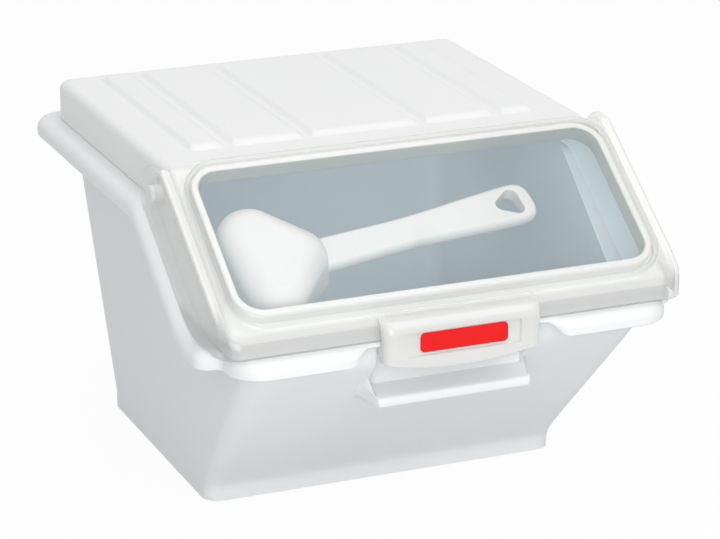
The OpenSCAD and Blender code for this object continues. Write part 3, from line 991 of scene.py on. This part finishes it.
    def front_lip(self) -> list[list[Vector]]:
        """Sections of the front lip from the middle to its corner, and round it.

        Returns:
            The sections.
        """
        z, sections = LINES.lip_h, []
        for x in self.lip_places:
            form = ease(x, self.gap_half, self.gap_half + self.gap_fade)
            edge = Vector((x, mix(self.gap_y, LINES.lip_y, form), z))
            back = Vector((x, self.wall_front + self.lip_back, z))
            sections.append(self.section(edge, Vector((0.0, -1.0, 0.0)), back, form=form))
        wall = (self.wall_x(z) - self.lip_wall_r, self.wall_front + self.lip_back + self.lip_wall_r)
        corner = (self.lip_half - self.lip_corner, LINES.lip_y + self.lip_corner)
        return sections + self.round_corner(corner, self.lip_corner, wall, self.lip_wall_r, z, -90)

    def lip_end(self) -> list[list[Vector]]:
        """Sections of the step from the lip out to the side rim.

        Returns:
            The sections.
        """
        z, sections = LINES.lip_h, []
        y = LINES.lip_y + self.lip_corner + self.rim_t
        hollow = Vector((self.lip_half + self.step_r, y, z))
        crest = hollow + Vector((0.0, self.lip_step, 0.0))
        turns = spread(-QUARTER, 0.0, 5)
        bends = [(hollow, -self.step_r, turn) for turn in turns[::-1]]
        bends += [(crest, self.lip_step - self.step_r, turn) for turn in turns[1:]]
        for (middle, r, turn), back in zip(bends, self.step_places):
            out = heading(turn)
            sections.append(self.section(middle + r * out, out, Vector((self.wall_x(z), y + back, z))))
        return sections

    def side_rim(self) -> list[list[Vector]]:
        """Sections of the side rim, up its slope and along its level part.

        Returns:
            The sections.
        """
        reach = [math.sin(tilt) for tilt in spread(0.0, LINES.slope, 9)]
        bends = [LINES.low_start + LINES.low_bend * share for share in reach]
        bends += [LINES.level_end - LINES.top_bend * share for share in reach[::-1]]
        sections = []
        for y in (*bends, *self.level_places):
            tilt, z = LINES.rim_tilt(y), LINES.rim_z(y)
            up = Vector((0.0, -math.sin(tilt), math.cos(tilt)))
            edge, wall = Vector((self.rim_half, y, z)), Vector((self.wall_x(z), y, z))
            sections.append(self.section(edge, Vector((1.0, 0.0, 0.0)), wall, up))
        return sections

    def rim(self) -> None:
        """Adds the rolled rim, which follows the level, the slope, the step and the front lip."""
        corner = (self.rim_half - self.rim_corner, self.rim_back - self.rim_corner)
        half = self.front_lip() + self.lip_end() + self.side_rim()
        half += self.round_corner(corner, self.rim_corner, self.back_wall, self.back_wall_r, LINES.rim_h, 0)
        other = [[Vector((-p.x, p.y, p.z)) for p in section] for section in half[:0:-1]]
        rows = self.skin.ring(half + other)
        # The rim's inner edge takes the painted bluish shade and glow, so that it blends into the walls.
        self.skin.mark_inside([[row[0] for row in rows]], DEEP_PAINTED_SHADE)


@dataclass
class Cover(Moulding):
    """Ribbed cover with a sloping window, its coaming and the pins that carry the door."""

    node: str = "top_cover"
    name: str = "cover"
    body: Body = Body.COVER
    slot: Slot = Slot.COVER

    half: float = 131.0
    back: float = 114.5
    front: float = -189.5
    wall: float = 2.6
    edge: float = 5.5
    inner_edge: float = 4.0
    corner: float = 7.0
    corner_draw: float = 0.6
    corner_least: float = 1.2
    seat: float = 0.3
    shoulder: float = 1.0
    outer_least: Flat = (2.0, 3.0)
    inner_least: Flat = (1.0, 1.6)
    edge_steps: int = 6
    fold_bend: float = 1.1
    roof_lift: float = 0.02
    window_half: float = 121.5
    window_top: float = 9.9
    window_low: float = 105.44
    window_r: float = 13.0
    window_margin: float = 2.0
    coaming_w: float = 4.0
    coaming_h: float = 8.5
    coaming_edge: float = 1.3
    coaming_foot: float = -1.0
    coaming_bevel: Flat = (0.5, 1.0)
    coaming_under: float = 0.2
    coaming_within: float = 0.1
    coaming_least: float = 0.3
    coaming_fade: Flat = (-118.0, -102.0)
    pad_front: float = 30.0
    pad_back: float = 102.5
    pad_corner: float = 4.0
    pad_lean: float = 1.9
    # Both sides of each pad.
    pads_across: Sequence[Flat] = (
        (-33.3, 33.3), (37.7, 81.8), (-81.8, -37.7), (86.2, 107.0), (-107.0, -86.2))
    # How far in and how high the rows of a pad lie.
    pad_profile: Sequence[Flat] = (
        (-1.0, -0.6), (-0.3, 0.0), (0.5, 0.3), (1.4, 1.1), (2.2, 1.75), (3.1, 2.2), (4.3, 2.35))
    pin_profile: Sequence[Flat] = ((129.0, 5.0), (138.1, 5.0), (138.7, 4.4))
    pin_points: int = 32
    tab_half: float = 12.0
    tab_places: Sequence[float] = (1.0, 49.0)
    tab_path: Sequence[Flat] = (
        (120.4, 174.0), (120.8, 173.6), (122.0, 173.6), (122.4, 174.0), (122.4, 180.9), (129.5, 180.9),
        (129.5, 183.3), (121.2, 183.3), (120.4, 182.5))
    side_places: Sequence[float] = (
        90.0, 40.0, -10.0, -40.0, -52.0, -58.2, -61.0, -64.0, -67.0, -69.5, -76.0, -84.0, -88.0, -90.5, -91.7,
        -93.0, -95.5, -100.0, -110.0, -120.0, -126.0, -131.5, -136.0, -141.0, -146.0, -151.0, -157.0, -165.0,
        -174.0)
    tied_from: float = -95.5
    tied_to: float = 90.0

    def shape(self) -> None:
        """Builds the shell and what stands on it."""
        self.shell()
        self.coaming()
        self.pads()
        self.pins_and_tabs()
        self.skin.tidy()

    def roof_z(self, y: float) -> float:
        """Height of the cover's outside at a depth, with a soft fold."""
        fall = (LINES.fold_y - y) * math.tan(LINES.slope)
        return LINES.cover_top - soft_ramp(fall, self.fold_bend) + self.roof_lift

    def loop(self, inset: float) -> list[Flat]:
        """Outline of the cover, with points close together at the bends of its sides.

        Args:
            inset: How far it is drawn in.

        Returns:
            Points of the outline.
        """
        r = max(self.corner - inset * self.corner_draw, self.corner_least)
        back, front = self.back - inset, self.front + inset
        start, stop = back - r, front + r
        places = (self.back - self.corner, *self.side_places, self.front + self.corner)
        shares = [min(max((y - start) / (stop - start), 0.0), 1.0) for y in places]
        return round_loop(self.half - inset, front, back, r, r, shares, spread(-1, 1, 17))

    def window(self, margin: float, lift: float) -> list[Vector]:
        """Outline of the window grown by a margin, at a height above the frame.

        Args:
            margin: How far it is grown.
            lift: Height above the frame.

        Returns:
            Points of the outline.
        """
        r = self.window_r + margin
        loop = round_loop(self.window_half + margin, -self.window_low - margin, -self.window_top + margin,
                          r, r, spread(0, 1, 8), spread(-1, 1, 15), 15, 9)
        return [LINES.on_window(x, -y, lift) for x, y in loop]

    def seat_row(self, inset: float) -> list[Vector]:
        """Lower edge of the shell, just above the rim."""
        return [Vector((x, y, LINES.rim_z(y) + self.seat)) for x, y in self.loop(inset)]

    def shell_row(self, inset: float, drop: float, least: float) -> list[Vector]:
        """Row below the roof by a drop, and above the rim by no less than a least height."""
        return [Vector((x, y, max(self.roof_z(y) - drop, LINES.rim_z(y) + least))) for x, y in self.loop(inset)]

    def ties(self, row: Sequence[Vert]) -> list[tuple[int, int]]:
        """Pairs of points across the top, so that its faces run straight over.

        Args:
            row: Last row of the shell.

        Returns:
            Numbers of the points.
        """
        pairs: dict[float, list[int]] = {}
        for i, vert in enumerate(row):
            if self.tied_from * MM < vert.co.y < self.tied_to * MM:
                pairs.setdefault(round(vert.co.y, 6), []).append(i)
        return [(pair[0], pair[1]) for pair in pairs.values() if len(pair) == 2]

    def shell_face(self, depth: float, edge: float, least: Flat) -> list[list[Vert]]:
        """Adds one face of the shell, from its lower edge over its rounded edge.

        Args:
            depth: How deep it lies below the outside.
            edge: Radius of the edge.
            least: Least heights above the rim of the straight side and of the edge.

        Returns:
            The rows of the mesh's own points.
        """
        rows = [self.seat_row(depth), self.shell_row(depth, depth + edge + self.shoulder, least[0])]
        rows += [self.shell_row(depth + inset, depth + drop, least[1])
                 for inset, drop in rounding(edge, self.edge_steps)]
        return self.skin.loft(rows, caps=False)

    def shell(self) -> None:
        """Adds the thin shell, open below, with the hole for the window."""
        out_rows = self.shell_face(0.0, self.edge, self.outer_least)
        in_rows = self.shell_face(self.wall, self.inner_edge, self.inner_least)
        self.skin.join((in_rows[0], out_rows[0]))
        holes = []
        for rows, lift in ((out_rows, 0.0), (in_rows, -self.wall)):
            holes.append(self.skin.row(self.window(self.window_margin, lift)))
            self.skin.fill(rows[-1], holes[-1], self.ties(rows[-1]))
        self.skin.join(holes)
        # The inside of the shell takes the painted bluish shade and glow.
        self.skin.mark_inside([*in_rows, holes[1]], DEEP_PAINTED_SHADE)

    def coaming_painted_shade(self, y: float) -> float:
        """Mark of the painted shade on the coaming's inside at a depth, which is less towards the front."""
        return mix(self.coaming_least, 1.0, ease(y, *self.coaming_fade))

    def coaming(self) -> None:
        """Adds the raised edge round the window."""
        w, h, low = self.coaming_w, self.coaming_h, -self.wall - self.coaming_under
        bevel, rise = self.coaming_bevel
        edge = rounding(self.coaming_edge, 4)
        section = [(w, self.coaming_foot), *((w - inset, h - drop) for inset, drop in edge)]
        section += [(inset, h - drop) for inset, drop in edge[::-1]]
        section += [(0.0, low + rise), (bevel, low), (w - bevel, low)]
        rows = self.skin.ring([self.window(margin, lift) for margin, lift in section])
        # The coaming's inner face takes a painted shade.
        within = [row for row, (margin, lift) in zip(rows, section)
                  if margin < self.coaming_within or lift <= low]
        self.skin.mark_inside(within, self.coaming_painted_shade)

    def pads(self) -> None:
        """Adds the five raised pads with soft edges."""
        for x0, x1 in self.pads_across:
            mid, half = (x0 + x1) / 2, (x1 - x0) / 2
            rows = []
            for inset, up in self.pad_profile:
                front = LINES.fold_y + self.pad_front + inset * self.pad_lean
                loop = round_loop(half - inset, front, self.pad_back - inset, self.pad_corner, self.pad_corner,
                                  spread(0, 1, 6), spread(-1, 1, 5), 5, 5)
                rows.append([Vector((mid + x, y, LINES.cover_top + up)) for x, y in loop])
            self.skin.loft(rows)

    def pins_and_tabs(self) -> None:
        """Adds the two pins that the door turns on and the tabs that hold the cover in place."""
        for side in HANDS:
            self.skin.loft([LINES.round_hinge(side * x, r, self.pin_points) for x, r in self.pin_profile])
            for y in self.tab_places:
                self.skin.loft([[Vector((side * x, y + w, z)) for x, z in self.tab_path]
                                for w in (-self.tab_half, self.tab_half)])


@dataclass
class Door(Moulding):
    """Clear door: raised lid over the coaming, flange, cheeks with round ears, skirt and handle."""

    node: str = "front_door"
    name: str = "clear_door"
    body: Body = Body.DOOR
    slot: Slot = Slot.CLEAR

    half: float = 139.0
    skirt_y: float = -194.9
    skirt_z: float = 128.0
    skirt_top: float = 132.4
    corner: float = 14.0
    back_corner: float = 2.0
    front_depth: float = 8.0
    front_draw: float = 0.66
    fold_fade: Flat = (178.0, 194.0)
    bead_fade: Flat = (-192.9, -170.9)
    flange: float = 3.0
    flange_inset: float = 7.5
    thick: float = 2.5
    top_y: float = -93.4
    lid_half: float = 128.7
    lid_top: float = 2.7
    lid_low: float = 114.34
    lid_r: float = 20.2
    lid_h: float = 11.5
    lid_edge: float = 3.0
    # How far in and how high the rows at the lid's foot lie.
    lid_foot: Sequence[Flat] = ((0.0, 5.0), (-0.3, 3.9), (-0.8, 3.25), (-1.4, 3.0))
    ear_r: float = 14.0
    ear_steps: int = 20
    ear_fade: float = 0.45
    cheek_gap: float = 1.08
    handle_half: float = 47.0
    handle_r: float = 6.0
    handle_out: float = 4.5
    handle_low: float = 109.5
    handle_edge: float = 117.8
    handle_root: float = 2.2
    bow_r: float = 203.6
    panel_half: float = 33.8
    panel_d: float = 1.4
    hub_profile: Sequence[Flat] = ((131.9, 7.9), (132.4, 8.5), (136.45, 8.5))
    hub_points: int = 40
    hub_mark: float = 0.75
    prong_w: float = 9.0
    prong_v: Flat = (10.3, 12.5)
    prong_profile: Sequence[Flat] = ((9.6, 0.0), (-17.6, 0.0), (-18.6, 0.4), (-19.0, 1.2))
    side_points: int = 15
    back_points: int = 21
    corner_steps: int = 10
    columns: Sequence[float] = mirrored((
        0.0, 9.0, 18.0, 27.0, 33.4, 34.0, 38.0, 41.0, 43.0, 44.5, 45.6, 46.4, 46.9, 47.0, 47.7, 52.0, 62.0, 76.0,
        92.0, 108.0, 118.0, 125.0))
    # How far in, height of the side beads, height of the front fold, and the handle's brow: depth, height.
    edge_profile: Sequence[tuple[float, float, float, float, float]] = (
        (6.0, 3.4, 3.0, -190.4, 140.5), (4.3, 4.0, 3.0, -193.2, 140.0), (2.6, 4.0, 2.75, -195.7, 138.7),
        (1.0, 3.0, 1.65, -197.7, 136.8), (0.15, 1.2, 0.1, -199.0, 134.3), (0.0, -0.6, -1.0, -199.4, 132.0))
    # Share of the way down the skirt, height of the handle's face, and how far its panel is sunk.
    skirt_profile: Sequence[tuple[float, float, float]] = (
        (0.25, 131.7, 0.0), (0.5, 131.3, 1.0), (0.75, 129.0, 1.0), (1.0, 126.0, 1.0))
    # Height and how far the panel is sunk, at the rows of its foot.
    panel_foot: Sequence[Flat] = ((122.0, 1.0), (118.4, 1.0), (117.8, 0.0))
    # Share of the way from the panel's foot to the bowed edge, and how far in.
    bow_rows: Sequence[Flat] = ((0.5, 0.0), (0.9, 0.0), (1.0, 0.5))

    def shape(self) -> None:
        """Builds the sheet, thickens it and adds what stands on it."""
        self.sheet()
        self.skin.tidy()
        work = self.skin.work
        bmesh.ops.recalc_face_normals(work, faces=work.faces)
        if max(work.faces, key=bmesh.types.BMFace.calc_area).normal.z < 0:
            bmesh.ops.reverse_faces(work, faces=work.faces)
        self.skin.thicken(self.thick)
        for side in HANDS:
            hub = self.skin.loft([LINES.round_hinge(side * x, r, self.hub_points) for x, r in self.hub_profile])
            self.skin.mark_inside(hub, self.hub_mark)
            self.prong(side)

    def outline(self, half: float, front: float, back: float, r_front: float, r_back: float) -> list[Flat]:
        """Rounded outline with the door's own points along its sides and its front."""
        fronts = [x / self.columns[-1] for x in self.columns]
        return round_loop(half, front, back, r_front, r_back, spread(0, 1, self.side_points), fronts,
                          self.back_points, self.corner_steps)

    def lid_loop(self, inset: float, lift: float) -> list[Vector]:
        """Outline of the lid at a height above the frame.

        Args:
            inset: How far it is drawn in.
            lift: Height above the frame.

        Returns:
            Points of the outline.
        """
        r = self.lid_r - inset
        loop = self.outline(self.lid_half - inset, -self.lid_low + inset, -self.lid_top - inset, r, r)
        return [LINES.on_window(x, -y, lift) for x, y in loop]

    def plan(self, inset: float) -> list[Flat]:
        """Outline of the flange drawn in by an inset, with its back edge kept."""
        front = self.skirt_y + self.front_draw * inset
        return self.outline(self.half - inset, front, self.top_y, self.corner - inset, self.back_corner)

    def open_count(self) -> int:
        """Number of points of an outline from the left ear by the front to the right ear."""
        return 2 * (self.side_points + self.corner_steps - 1) + len(self.columns)

    def bulge(self, x: float) -> float:
        """How far the handle is formed at a place across the door.

        Args:
            x: Place across.

        Returns:
            Share from 0 to 1.
        """
        past, r = abs(x) - (self.handle_half - self.handle_r), self.handle_r
        if past <= 0:
            return 1.0
        if past >= r:
            return 0.0
        return max(self.handle_out - (r - math.sqrt(r * r - past * past)), 0.0) / self.handle_out

    def formed(self, x: float, y: float) -> float:
        """How far the handle is formed at a point, which it is in front only."""
        return self.bulge(x) if y < self.skirt_y + self.front_depth else 0.0

    def sunk(self, x: float) -> float:
        """How far the panel on the handle is sunk at a place across the door."""
        return self.panel_d if abs(x) < self.panel_half else 0.0

    def edge_rows(self) -> list[list[Vector]]:
        """Rows from the flange over its edge and down the cheeks and the skirt.

        Returns:
            Open rows from the left ear by the front to the right ear.
        """
        rows = []
        for inset, side_h, front_h, *brow in self.edge_profile:
            row = []
            for x, y in self.plan(inset)[:self.open_count()]:
                lift = mix(side_h, front_h, ease(-y, *self.fold_fade))
                row.append(Vector((x, y, LINES.frame_z(y, lift))).lerp(Vector((x, *brow)), self.formed(x, y)))
            rows.append(row)
        crest = rows[-1]
        low = self.lower_edge(crest)
        for share, face_z, sink in self.skirt_profile:
            row = []
            for top, foot in zip(crest, low):
                bulge = self.formed(top.x, top.y)
                plain = top.lerp(foot, share)
                if bulge > 0:
                    plain = Vector((top.x, self.skirt_y, mix(self.skirt_top, self.skirt_z, share)))
                out = Vector((top.x, self.skirt_y - self.handle_out + sink * self.sunk(top.x), face_z))
                row.append(plain.lerp(out, bulge))
            rows.append(row)
        return rows

    def lower_edge(self, crest: Sequence[Vector]) -> list[Vector]:
        """Lower edge of the cheeks and the skirt below each point of the crest.

        Args:
            crest: Points along the door's outer edge.

        Returns:
            Points of the lower edge.
        """
        sin, cos = math.sin(LINES.slope), math.cos(LINES.slope)
        start, stop = LINES.hinge_y + self.ear_r * sin, self.skirt_y + self.corner
        points = []
        for top in crest:
            if top.y < stop:
                points.append(Vector((top.x, top.y, self.skirt_z)))
                continue
            y = mix(start, stop, (top.y - self.top_y) / (stop - self.top_y))
            points.append(Vector((top.x, y, max(LINES.rim_z(y) + self.cheek_gap / cos, self.skirt_z))))
        for end in (0, -1):
            points[end].z = LINES.hinge_z - self.ear_r * cos
        return points

    def ear(self, column: Sequence[Vert]) -> None:
        """Adds the round ear behind the end of a cheek.

        Args:
            column: Points of the cheek's end, from the crest down.
        """
        top, low = column[0].co / MM, column[-1].co / MM
        first = math.atan2(top.z - LINES.hinge_z, top.y - LINES.hinge_y)
        last = math.atan2(low.z - LINES.hinge_z, low.y - LINES.hinge_y)
        far = math.hypot(top.z - LINES.hinge_z, top.y - LINES.hinge_y)
        points = []
        for share in spread(0.0, 1.0, self.ear_steps + 1)[1:-1]:
            r = mix(far, self.ear_r, ease(share, 0.0, self.ear_fade))
            points.append(LINES.off_hinge(top.x, r, mix(first, last, share)))
        self.skin.face([*self.skin.row(points), *column[::-1]])

    def handle_skirt(self, last: Sequence[Vert]) -> None:
        """Adds the lower part of the handle, down to its bowed edge.

        Args:
            last: Lowest row of the skirt.
        """
        front, reach = (self.skirt_y + self.front_depth) * MM, (self.handle_half + 0.01) * MM
        start = [v for v in last if abs(v.co.x) < reach and v.co.y < front]
        columns = []
        for x in (vert.co.x / MM for vert in start):
            bulge = self.bulge(x)
            y = self.skirt_y - self.handle_out * bulge if bulge else self.skirt_y + self.handle_root
            low = self.handle_low + self.bow_r - math.sqrt(self.bow_r ** 2 - x * x)
            column = [(x, y + share * self.sunk(x), z) for z, share in self.panel_foot]
            column += [(x, y + back, mix(self.handle_edge, low, way)) for way, back in self.bow_rows]
            columns.append(column)
        self.skin.join([start, *(self.skin.row(row) for row in zip(*columns))], closed=False)

    def bead_mark(self, y: float) -> float:
        """Mark of the painted highlight on the side beads at a depth, which fades out at the front."""
        return -ease(y, *self.bead_fade)

    def sheet(self) -> None:
        """Adds the outside of the door as one sheet."""
        turns, edge = spread(0.0, QUARTER, 6), self.lid_edge
        rows = [self.lid_loop(edge * (1 - math.sin(a)), self.lid_h - edge * (1 - math.cos(a))) for a in turns]
        rows += [self.lid_loop(inset, lift) for inset, lift in self.lid_foot]
        made = self.skin.loft(rows, caps=False)
        self.skin.face(made[0])
        plan = self.plan(self.flange_inset)
        flange = self.skin.row([Vector((x, y, LINES.frame_z(y, self.flange))) for x, y in plan])
        self.skin.join((made[-1], flange))
        strips = [flange[:self.open_count()], *(self.skin.row(points) for points in self.edge_rows())]
        # The bead rows carry the mark of a painted highlight.
        self.skin.mark_inside(strips[1:4], self.bead_mark)
        self.skin.join(strips, closed=False)
        for end in (0, -1):
            self.ear([strip[end] for strip in strips[len(self.edge_profile):]])
        self.handle_skirt(strips[-1])

    def prong(self, side: int) -> None:
        """Adds one prong under the lid, beside the waist of the scoop's grip.

        Args:
            side: Which side of the grip it is on.
        """
        u0, u1 = LINES.waist_u - self.prong_w / 2, LINES.waist_u + self.prong_w / 2
        v0, v1 = (side * v for v in self.prong_v)
        rows = []
        for lift, draw in self.prong_profile:
            loop = ((u0 + draw, v0), (u1 - draw, v0), (u1 - draw, v1), (u0 + draw, v1))
            rows.append([LINES.on_scoop(u, v, lift) for u, v in loop])
        self.skin.mark_inside(self.skin.loft(rows), CLEARED)


@dataclass
class Badge:
    """Plain badge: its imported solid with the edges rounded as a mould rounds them."""

    node: str = "handle_badge"
    name: str = "badge"
    body: Body = Body.DOOR
    slot: Slot = Slot.BADGE
    edge: float = 0.3
    steps: int = 2
    weld: float = 0.002
    flat_to: float = 0.4
    sharp_from: float = 28.0
    smooth_to: float = 32.0
    drift: float = 0.45

    def build(self, nodes: dict[str, bpy.types.Object], material: bpy.types.Material) -> bpy.types.Object:
        """Makes the piece.

        Args:
            nodes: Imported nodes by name.
            material: Finish of the piece.

        Returns:
            The new object.
        """
        work = bmesh.new()
        work.from_mesh(nodes[self.node].data)
        bmesh.ops.remove_doubles(work, verts=work.verts, dist=self.weld * MM)
        skin = BVHTree.FromBMesh(work)
        bmesh.ops.dissolve_limit(work, angle_limit=math.radians(self.flat_to), verts=work.verts,
                                 edges=work.edges, delimit=set())
        limit, width = math.radians(self.sharp_from), self.edge * MM
        edges = [e for e in work.edges if len(e.link_faces) == 2 and e.calc_face_angle(0.0) > limit]
        bmesh.ops.bevel(work, geom=edges, offset=width, offset_type="OFFSET", segments=self.steps, profile=0.5,
                        affect="EDGES", clamp_overlap=False)
        for vert in work.verts:
            near, _, _, gap = skin.find_nearest(vert.co)
            if gap > self.drift * width:
                vert.co = near
        return finish_piece(work, self.name, self.body, material, self.node, self.smooth_to)


@dataclass
class Scoop(Moulding):
    """Hand scoop that lies on its back: a round bowl, seen on its base, and a grip with a hole."""

    node: str = "scoop"
    name: str = "hand_scoop"
    body: Body = Body.SCOOP
    slot: Slot = Slot.SCOOP

    lift: float = -13.5
    neck_u: float = -24.0
    neck_r: float = 14.4
    far_u: float = -44.0
    far_v: float = 17.4
    far_r: float = 18.8
    flare: float = 7.0
    far_flare: float = 2.0
    rim_w: float = -8.0
    base_w: float = 19.5
    bowl_levels: Sequence[float] = (-7.3, -3.0, 2.0)
    round_r: float = 12.8
    wall: float = 2.2
    grip_l: float = 130.0
    grip_t: float = 9.0
    grip_edge: float = 3.2
    end_half: float = 13.5
    end_square: float = 0.68
    waist_half: float = 9.75
    swell: Flat = (37.4, 130.5)
    root_u: float = -2.0
    root_grow: float = 0.8
    root_fade: float = 8.0
    root_r: float = 17.3
    bowl_points: int = 84
    hole_points: int = 48
    hole_in: float = 13.0
    hole_l: float = 7.4
    hole_half: float = 4.3
    hole_r: float = 4.1
    hole_edge: Sequence[Flat] = ((1.0, 0.0), (0.3, 0.35), (0.0, 1.1))

    def shape(self) -> None:
        """Builds the bowl and the grip."""
        self.bowl()
        self.grip()
        self.skin.tidy()

    def place(self, outline: Iterable[Flat], w: float) -> list[Vector]:
        """Outline put at a height of the scoop."""
        return [LINES.on_scoop(u, v, self.lift + w) for u, v in outline]

    @staticmethod
    def hull(discs: Sequence[tuple[float, float, float]], steps: int) -> list[Flat]:
        """Outline round a few discs.

        Args:
            discs: Middle and radius of each disc.
            steps: Number of points.

        Returns:
            Points of the outline.
        """
        points = []
        for i in range(steps):
            a = 2 * math.pi * (i + 0.5) / steps
            x, y = math.cos(a), math.sin(a)
            u, v, r = max(discs, key=lambda d: d[0] * x + d[1] * y + d[2])
            points.append((u + r * x, v + r * y))
        return points

    def bowl_loop(self, inset: float, w: float) -> list[Vector]:
        """Outline of the bowl at a height.

        Args:
            inset: How far it is drawn in.
            w: Height.

        Returns:
            Points of the outline.
        """
        opened = (self.base_w - w) / (self.base_w - self.rim_w)
        discs = [(self.neck_u, 0.0, self.neck_r + self.flare * opened - inset)]
        far_u = self.far_u - self.far_flare * opened
        discs += [(far_u, side * self.far_v, self.far_r - inset) for side in HANDS]
        return self.place(self.hull(discs, self.bowl_points), w)

    def bowl(self) -> None:
        """Adds the thin bowl."""
        faces = []
        for inset in (0.0, self.wall):
            rows = [self.bowl_loop(inset, w) for w in self.bowl_levels]
            rows += [self.bowl_loop(inset + draw, self.base_w - inset - drop)
                     for draw, drop in rounding(self.round_r - inset, 8)]
            faces.append(rows)
        self.skin.loft([*faces[0][::-1], self.bowl_loop(self.wall / 2, self.rim_w), *faces[1]])

    def grip_half(self, u: float) -> float:
        """Half of the grip's width along it."""
        root = self.root_grow * ease(-u, -LINES.waist_u, self.root_fade)
        return mix(self.waist_half, self.end_half, ease(u, *self.swell)) + root

    def grip_outline(self, inset: float) -> list[Flat]:
        """Outline of the grip, with its root inside the bowl's wall.

        Args:
            inset: How far it is drawn in.

        Returns:
            Points of the outline.
        """
        end, power = self.grip_l - self.end_half, self.end_square
        side = [(u, self.grip_half(u) - inset) for u in spread(self.root_u, end, 18)]
        root_half, r = side[0][1], side[-1][1]
        turns = [math.pi * i / 16 - QUARTER for i in range(1, 16)]
        tip = [(end + r * math.cos(a) ** power, math.copysign(r * abs(math.sin(a)) ** power, a)) for a in turns]
        root = [(self.neck_u + math.sqrt(self.root_r ** 2 - v * v), v) for v in spread(root_half, -root_half, 7)]
        return [(u, -v) for u, v in side] + tip + side[::-1] + root

    def grip(self) -> None:
        """Adds the grip with its hanging hole."""
        half, edge = self.grip_t / 2, self.grip_edge
        turns = [math.pi * i / 12 - QUARTER for i in range(13)]
        made = self.skin.loft([self.place(self.grip_outline(edge * (1 - math.cos(a))), half * math.sin(a))
                               for a in turns], caps=False)
        middle = self.grip_l - self.hole_in
        upper = [(grow, half - drop) for grow, drop in self.hole_edge]
        hole = []
        for grow, w in upper + [(grow, -w) for grow, w in upper[::-1]]:
            discs = [(middle - self.hole_l, 0.0, self.hole_r + grow)]
            discs += [(middle, side * self.hole_half, self.hole_r + grow) for side in HANDS]
            hole.append(self.skin.row(self.place(self.hull(discs, self.hole_points), w)))
        self.skin.join(hole)
        self.skin.fill(made[-1], hole[0])
        self.skin.fill(made[0], hole[-1])


@dataclass(frozen=True)
class Softbox:
    """A square lamp that faces the bin."""

    name: str
    place: Place
    size: float
    power: float
    colour: Colour
    aim: Place = (0.0, -0.05, 0.1)

    def build(self) -> None:
        """Adds the lamp."""
        data = bpy.data.lights.new(self.name, "AREA")
        data.size = self.size
        data.energy = self.power
        data.color = self.colour
        lamp = bpy.data.objects.new(self.name, data)
        lamp.location = self.place
        way = Vector(self.aim) - Vector(self.place)
        lamp.rotation_euler = way.to_track_quat("-Z", "Y").to_euler()
        bpy.context.scene.collection.objects.link(lamp)


@dataclass(frozen=True)
class Studio:
    """Camera, floor and light."""

    camera_place: Place = (-0.6517, -1.6134, 0.7034)
    camera_tilt: float = 19.111
    camera_turn: float = -22.641
    lens: float = 152.8
    sensor: float = 36.0
    floor_half: float = 4.0
    floor_drop: float = 0.0004
    floor_bounce: Colour = (0.66, 0.67, 0.68)
    floor_paper: Colour = (0.95, 0.95, 0.95)
    floor_glow: float = 0.92
    sky: Colour = (0.975, 0.988, 1.0)
    sky_level: float = 0.52
    lamps: Sequence[Softbox] = (
        Softbox("key_softbox", (0.5, -1.3, 1.5), 1.3, 11.0, (1.0, 0.99, 0.97)),
        Softbox("fill_softbox", (-0.7, -1.8, 0.55), 1.2, 16.5, (1.0, 0.998, 0.99)),
        Softbox("top_softbox", (-0.1, 0.35, 1.7), 1.5, 7.0, WHITE))

    def build(self) -> None:
        """Makes everything that isn't part of the bin."""
        self.camera()
        self.floor()
        self.world()
        for lamp in self.lamps:
            lamp.build()
        bpy.context.scene.view_settings.view_transform = "Standard"

    def camera(self) -> None:
        """Puts the camera where the photograph was taken from."""
        data = bpy.data.cameras.new("camera")
        data.lens = self.lens
        data.sensor_width = self.sensor
        camera = bpy.data.objects.new("camera", data)
        camera.location = self.camera_place
        camera.rotation_euler = (math.radians(90.0 - self.camera_tilt), 0.0, math.radians(self.camera_turn))
        bpy.context.scene.collection.objects.link(camera)
        bpy.context.scene.camera = camera

    @staticmethod
    def seen(graph: Graph) -> Signal:
        """One for rays that show the background: camera, glossy and transmission rays.

        Args:
            graph: Graph that gets the nodes.

        Returns:
            The mask.
        """
        camera, glossy, through = (graph.add("ShaderNodeLightPath", output=f"Is {ray} Ray")
                                   for ray in ("Camera", "Glossy", "Transmission"))
        return camera.larger(glossy).larger(through)

    def floor(self) -> None:
        """Makes the pale floor, which keeps a soft shadow."""
        half = self.floor_half
        mesh = bpy.data.meshes.new("floor")
        mesh.from_pydata([(-half, -half, 0.0), (half, -half, 0.0), (half, half, 0.0), (-half, half, 0.0)],
                         [], [(0, 1, 2, 3)])
        floor = bpy.data.objects.new("floor", mesh)
        floor.location.z = -self.floor_drop
        bpy.context.scene.collection.objects.link(floor)
        material, graph = new_material("pale_floor")
        bounce, paper = (graph.add("ShaderNodeBsdfDiffuse", None, {"Color": colour})
                         for colour in (self.floor_bounce, self.floor_paper))
        glow = graph.add("ShaderNodeEmission", None, {"Color": WHITE, "Strength": 1.0})
        shown = graph.either(self.floor_glow, paper, glow)
        graph.surface(graph.either(self.seen(graph), bounce, shown))
        mesh.materials.append(material)

    def world(self) -> None:
        """Lights the scene evenly and shows white behind it."""
        world = bpy.data.worlds.new("studio")
        world.use_nodes = True
        bpy.context.scene.world = world
        graph = Graph(world.node_tree)
        even, white = (graph.add("ShaderNodeBackground", None, {"Color": colour, "Strength": level})
                       for colour, level in ((self.sky, self.sky_level), (WHITE, 1.0)))
        graph.surface(graph.either(self.seen(graph), even, white))


def main() -> None:
    """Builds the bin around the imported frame."""
    logging.basicConfig(level=logging.INFO, format="%(name)s: %(message)s")
    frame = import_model()
    nodes = frame["nodes"]
    finishes = Finishes()
    Studio().build()
    Tub().build(finishes.tub)
    Cover().build(finishes.cover)
    Door().build(finishes.clear)
    Badge().build(nodes, finishes.badge)
    Scoop().build(finishes.scoop)


if __name__ == "__main__":
    main()
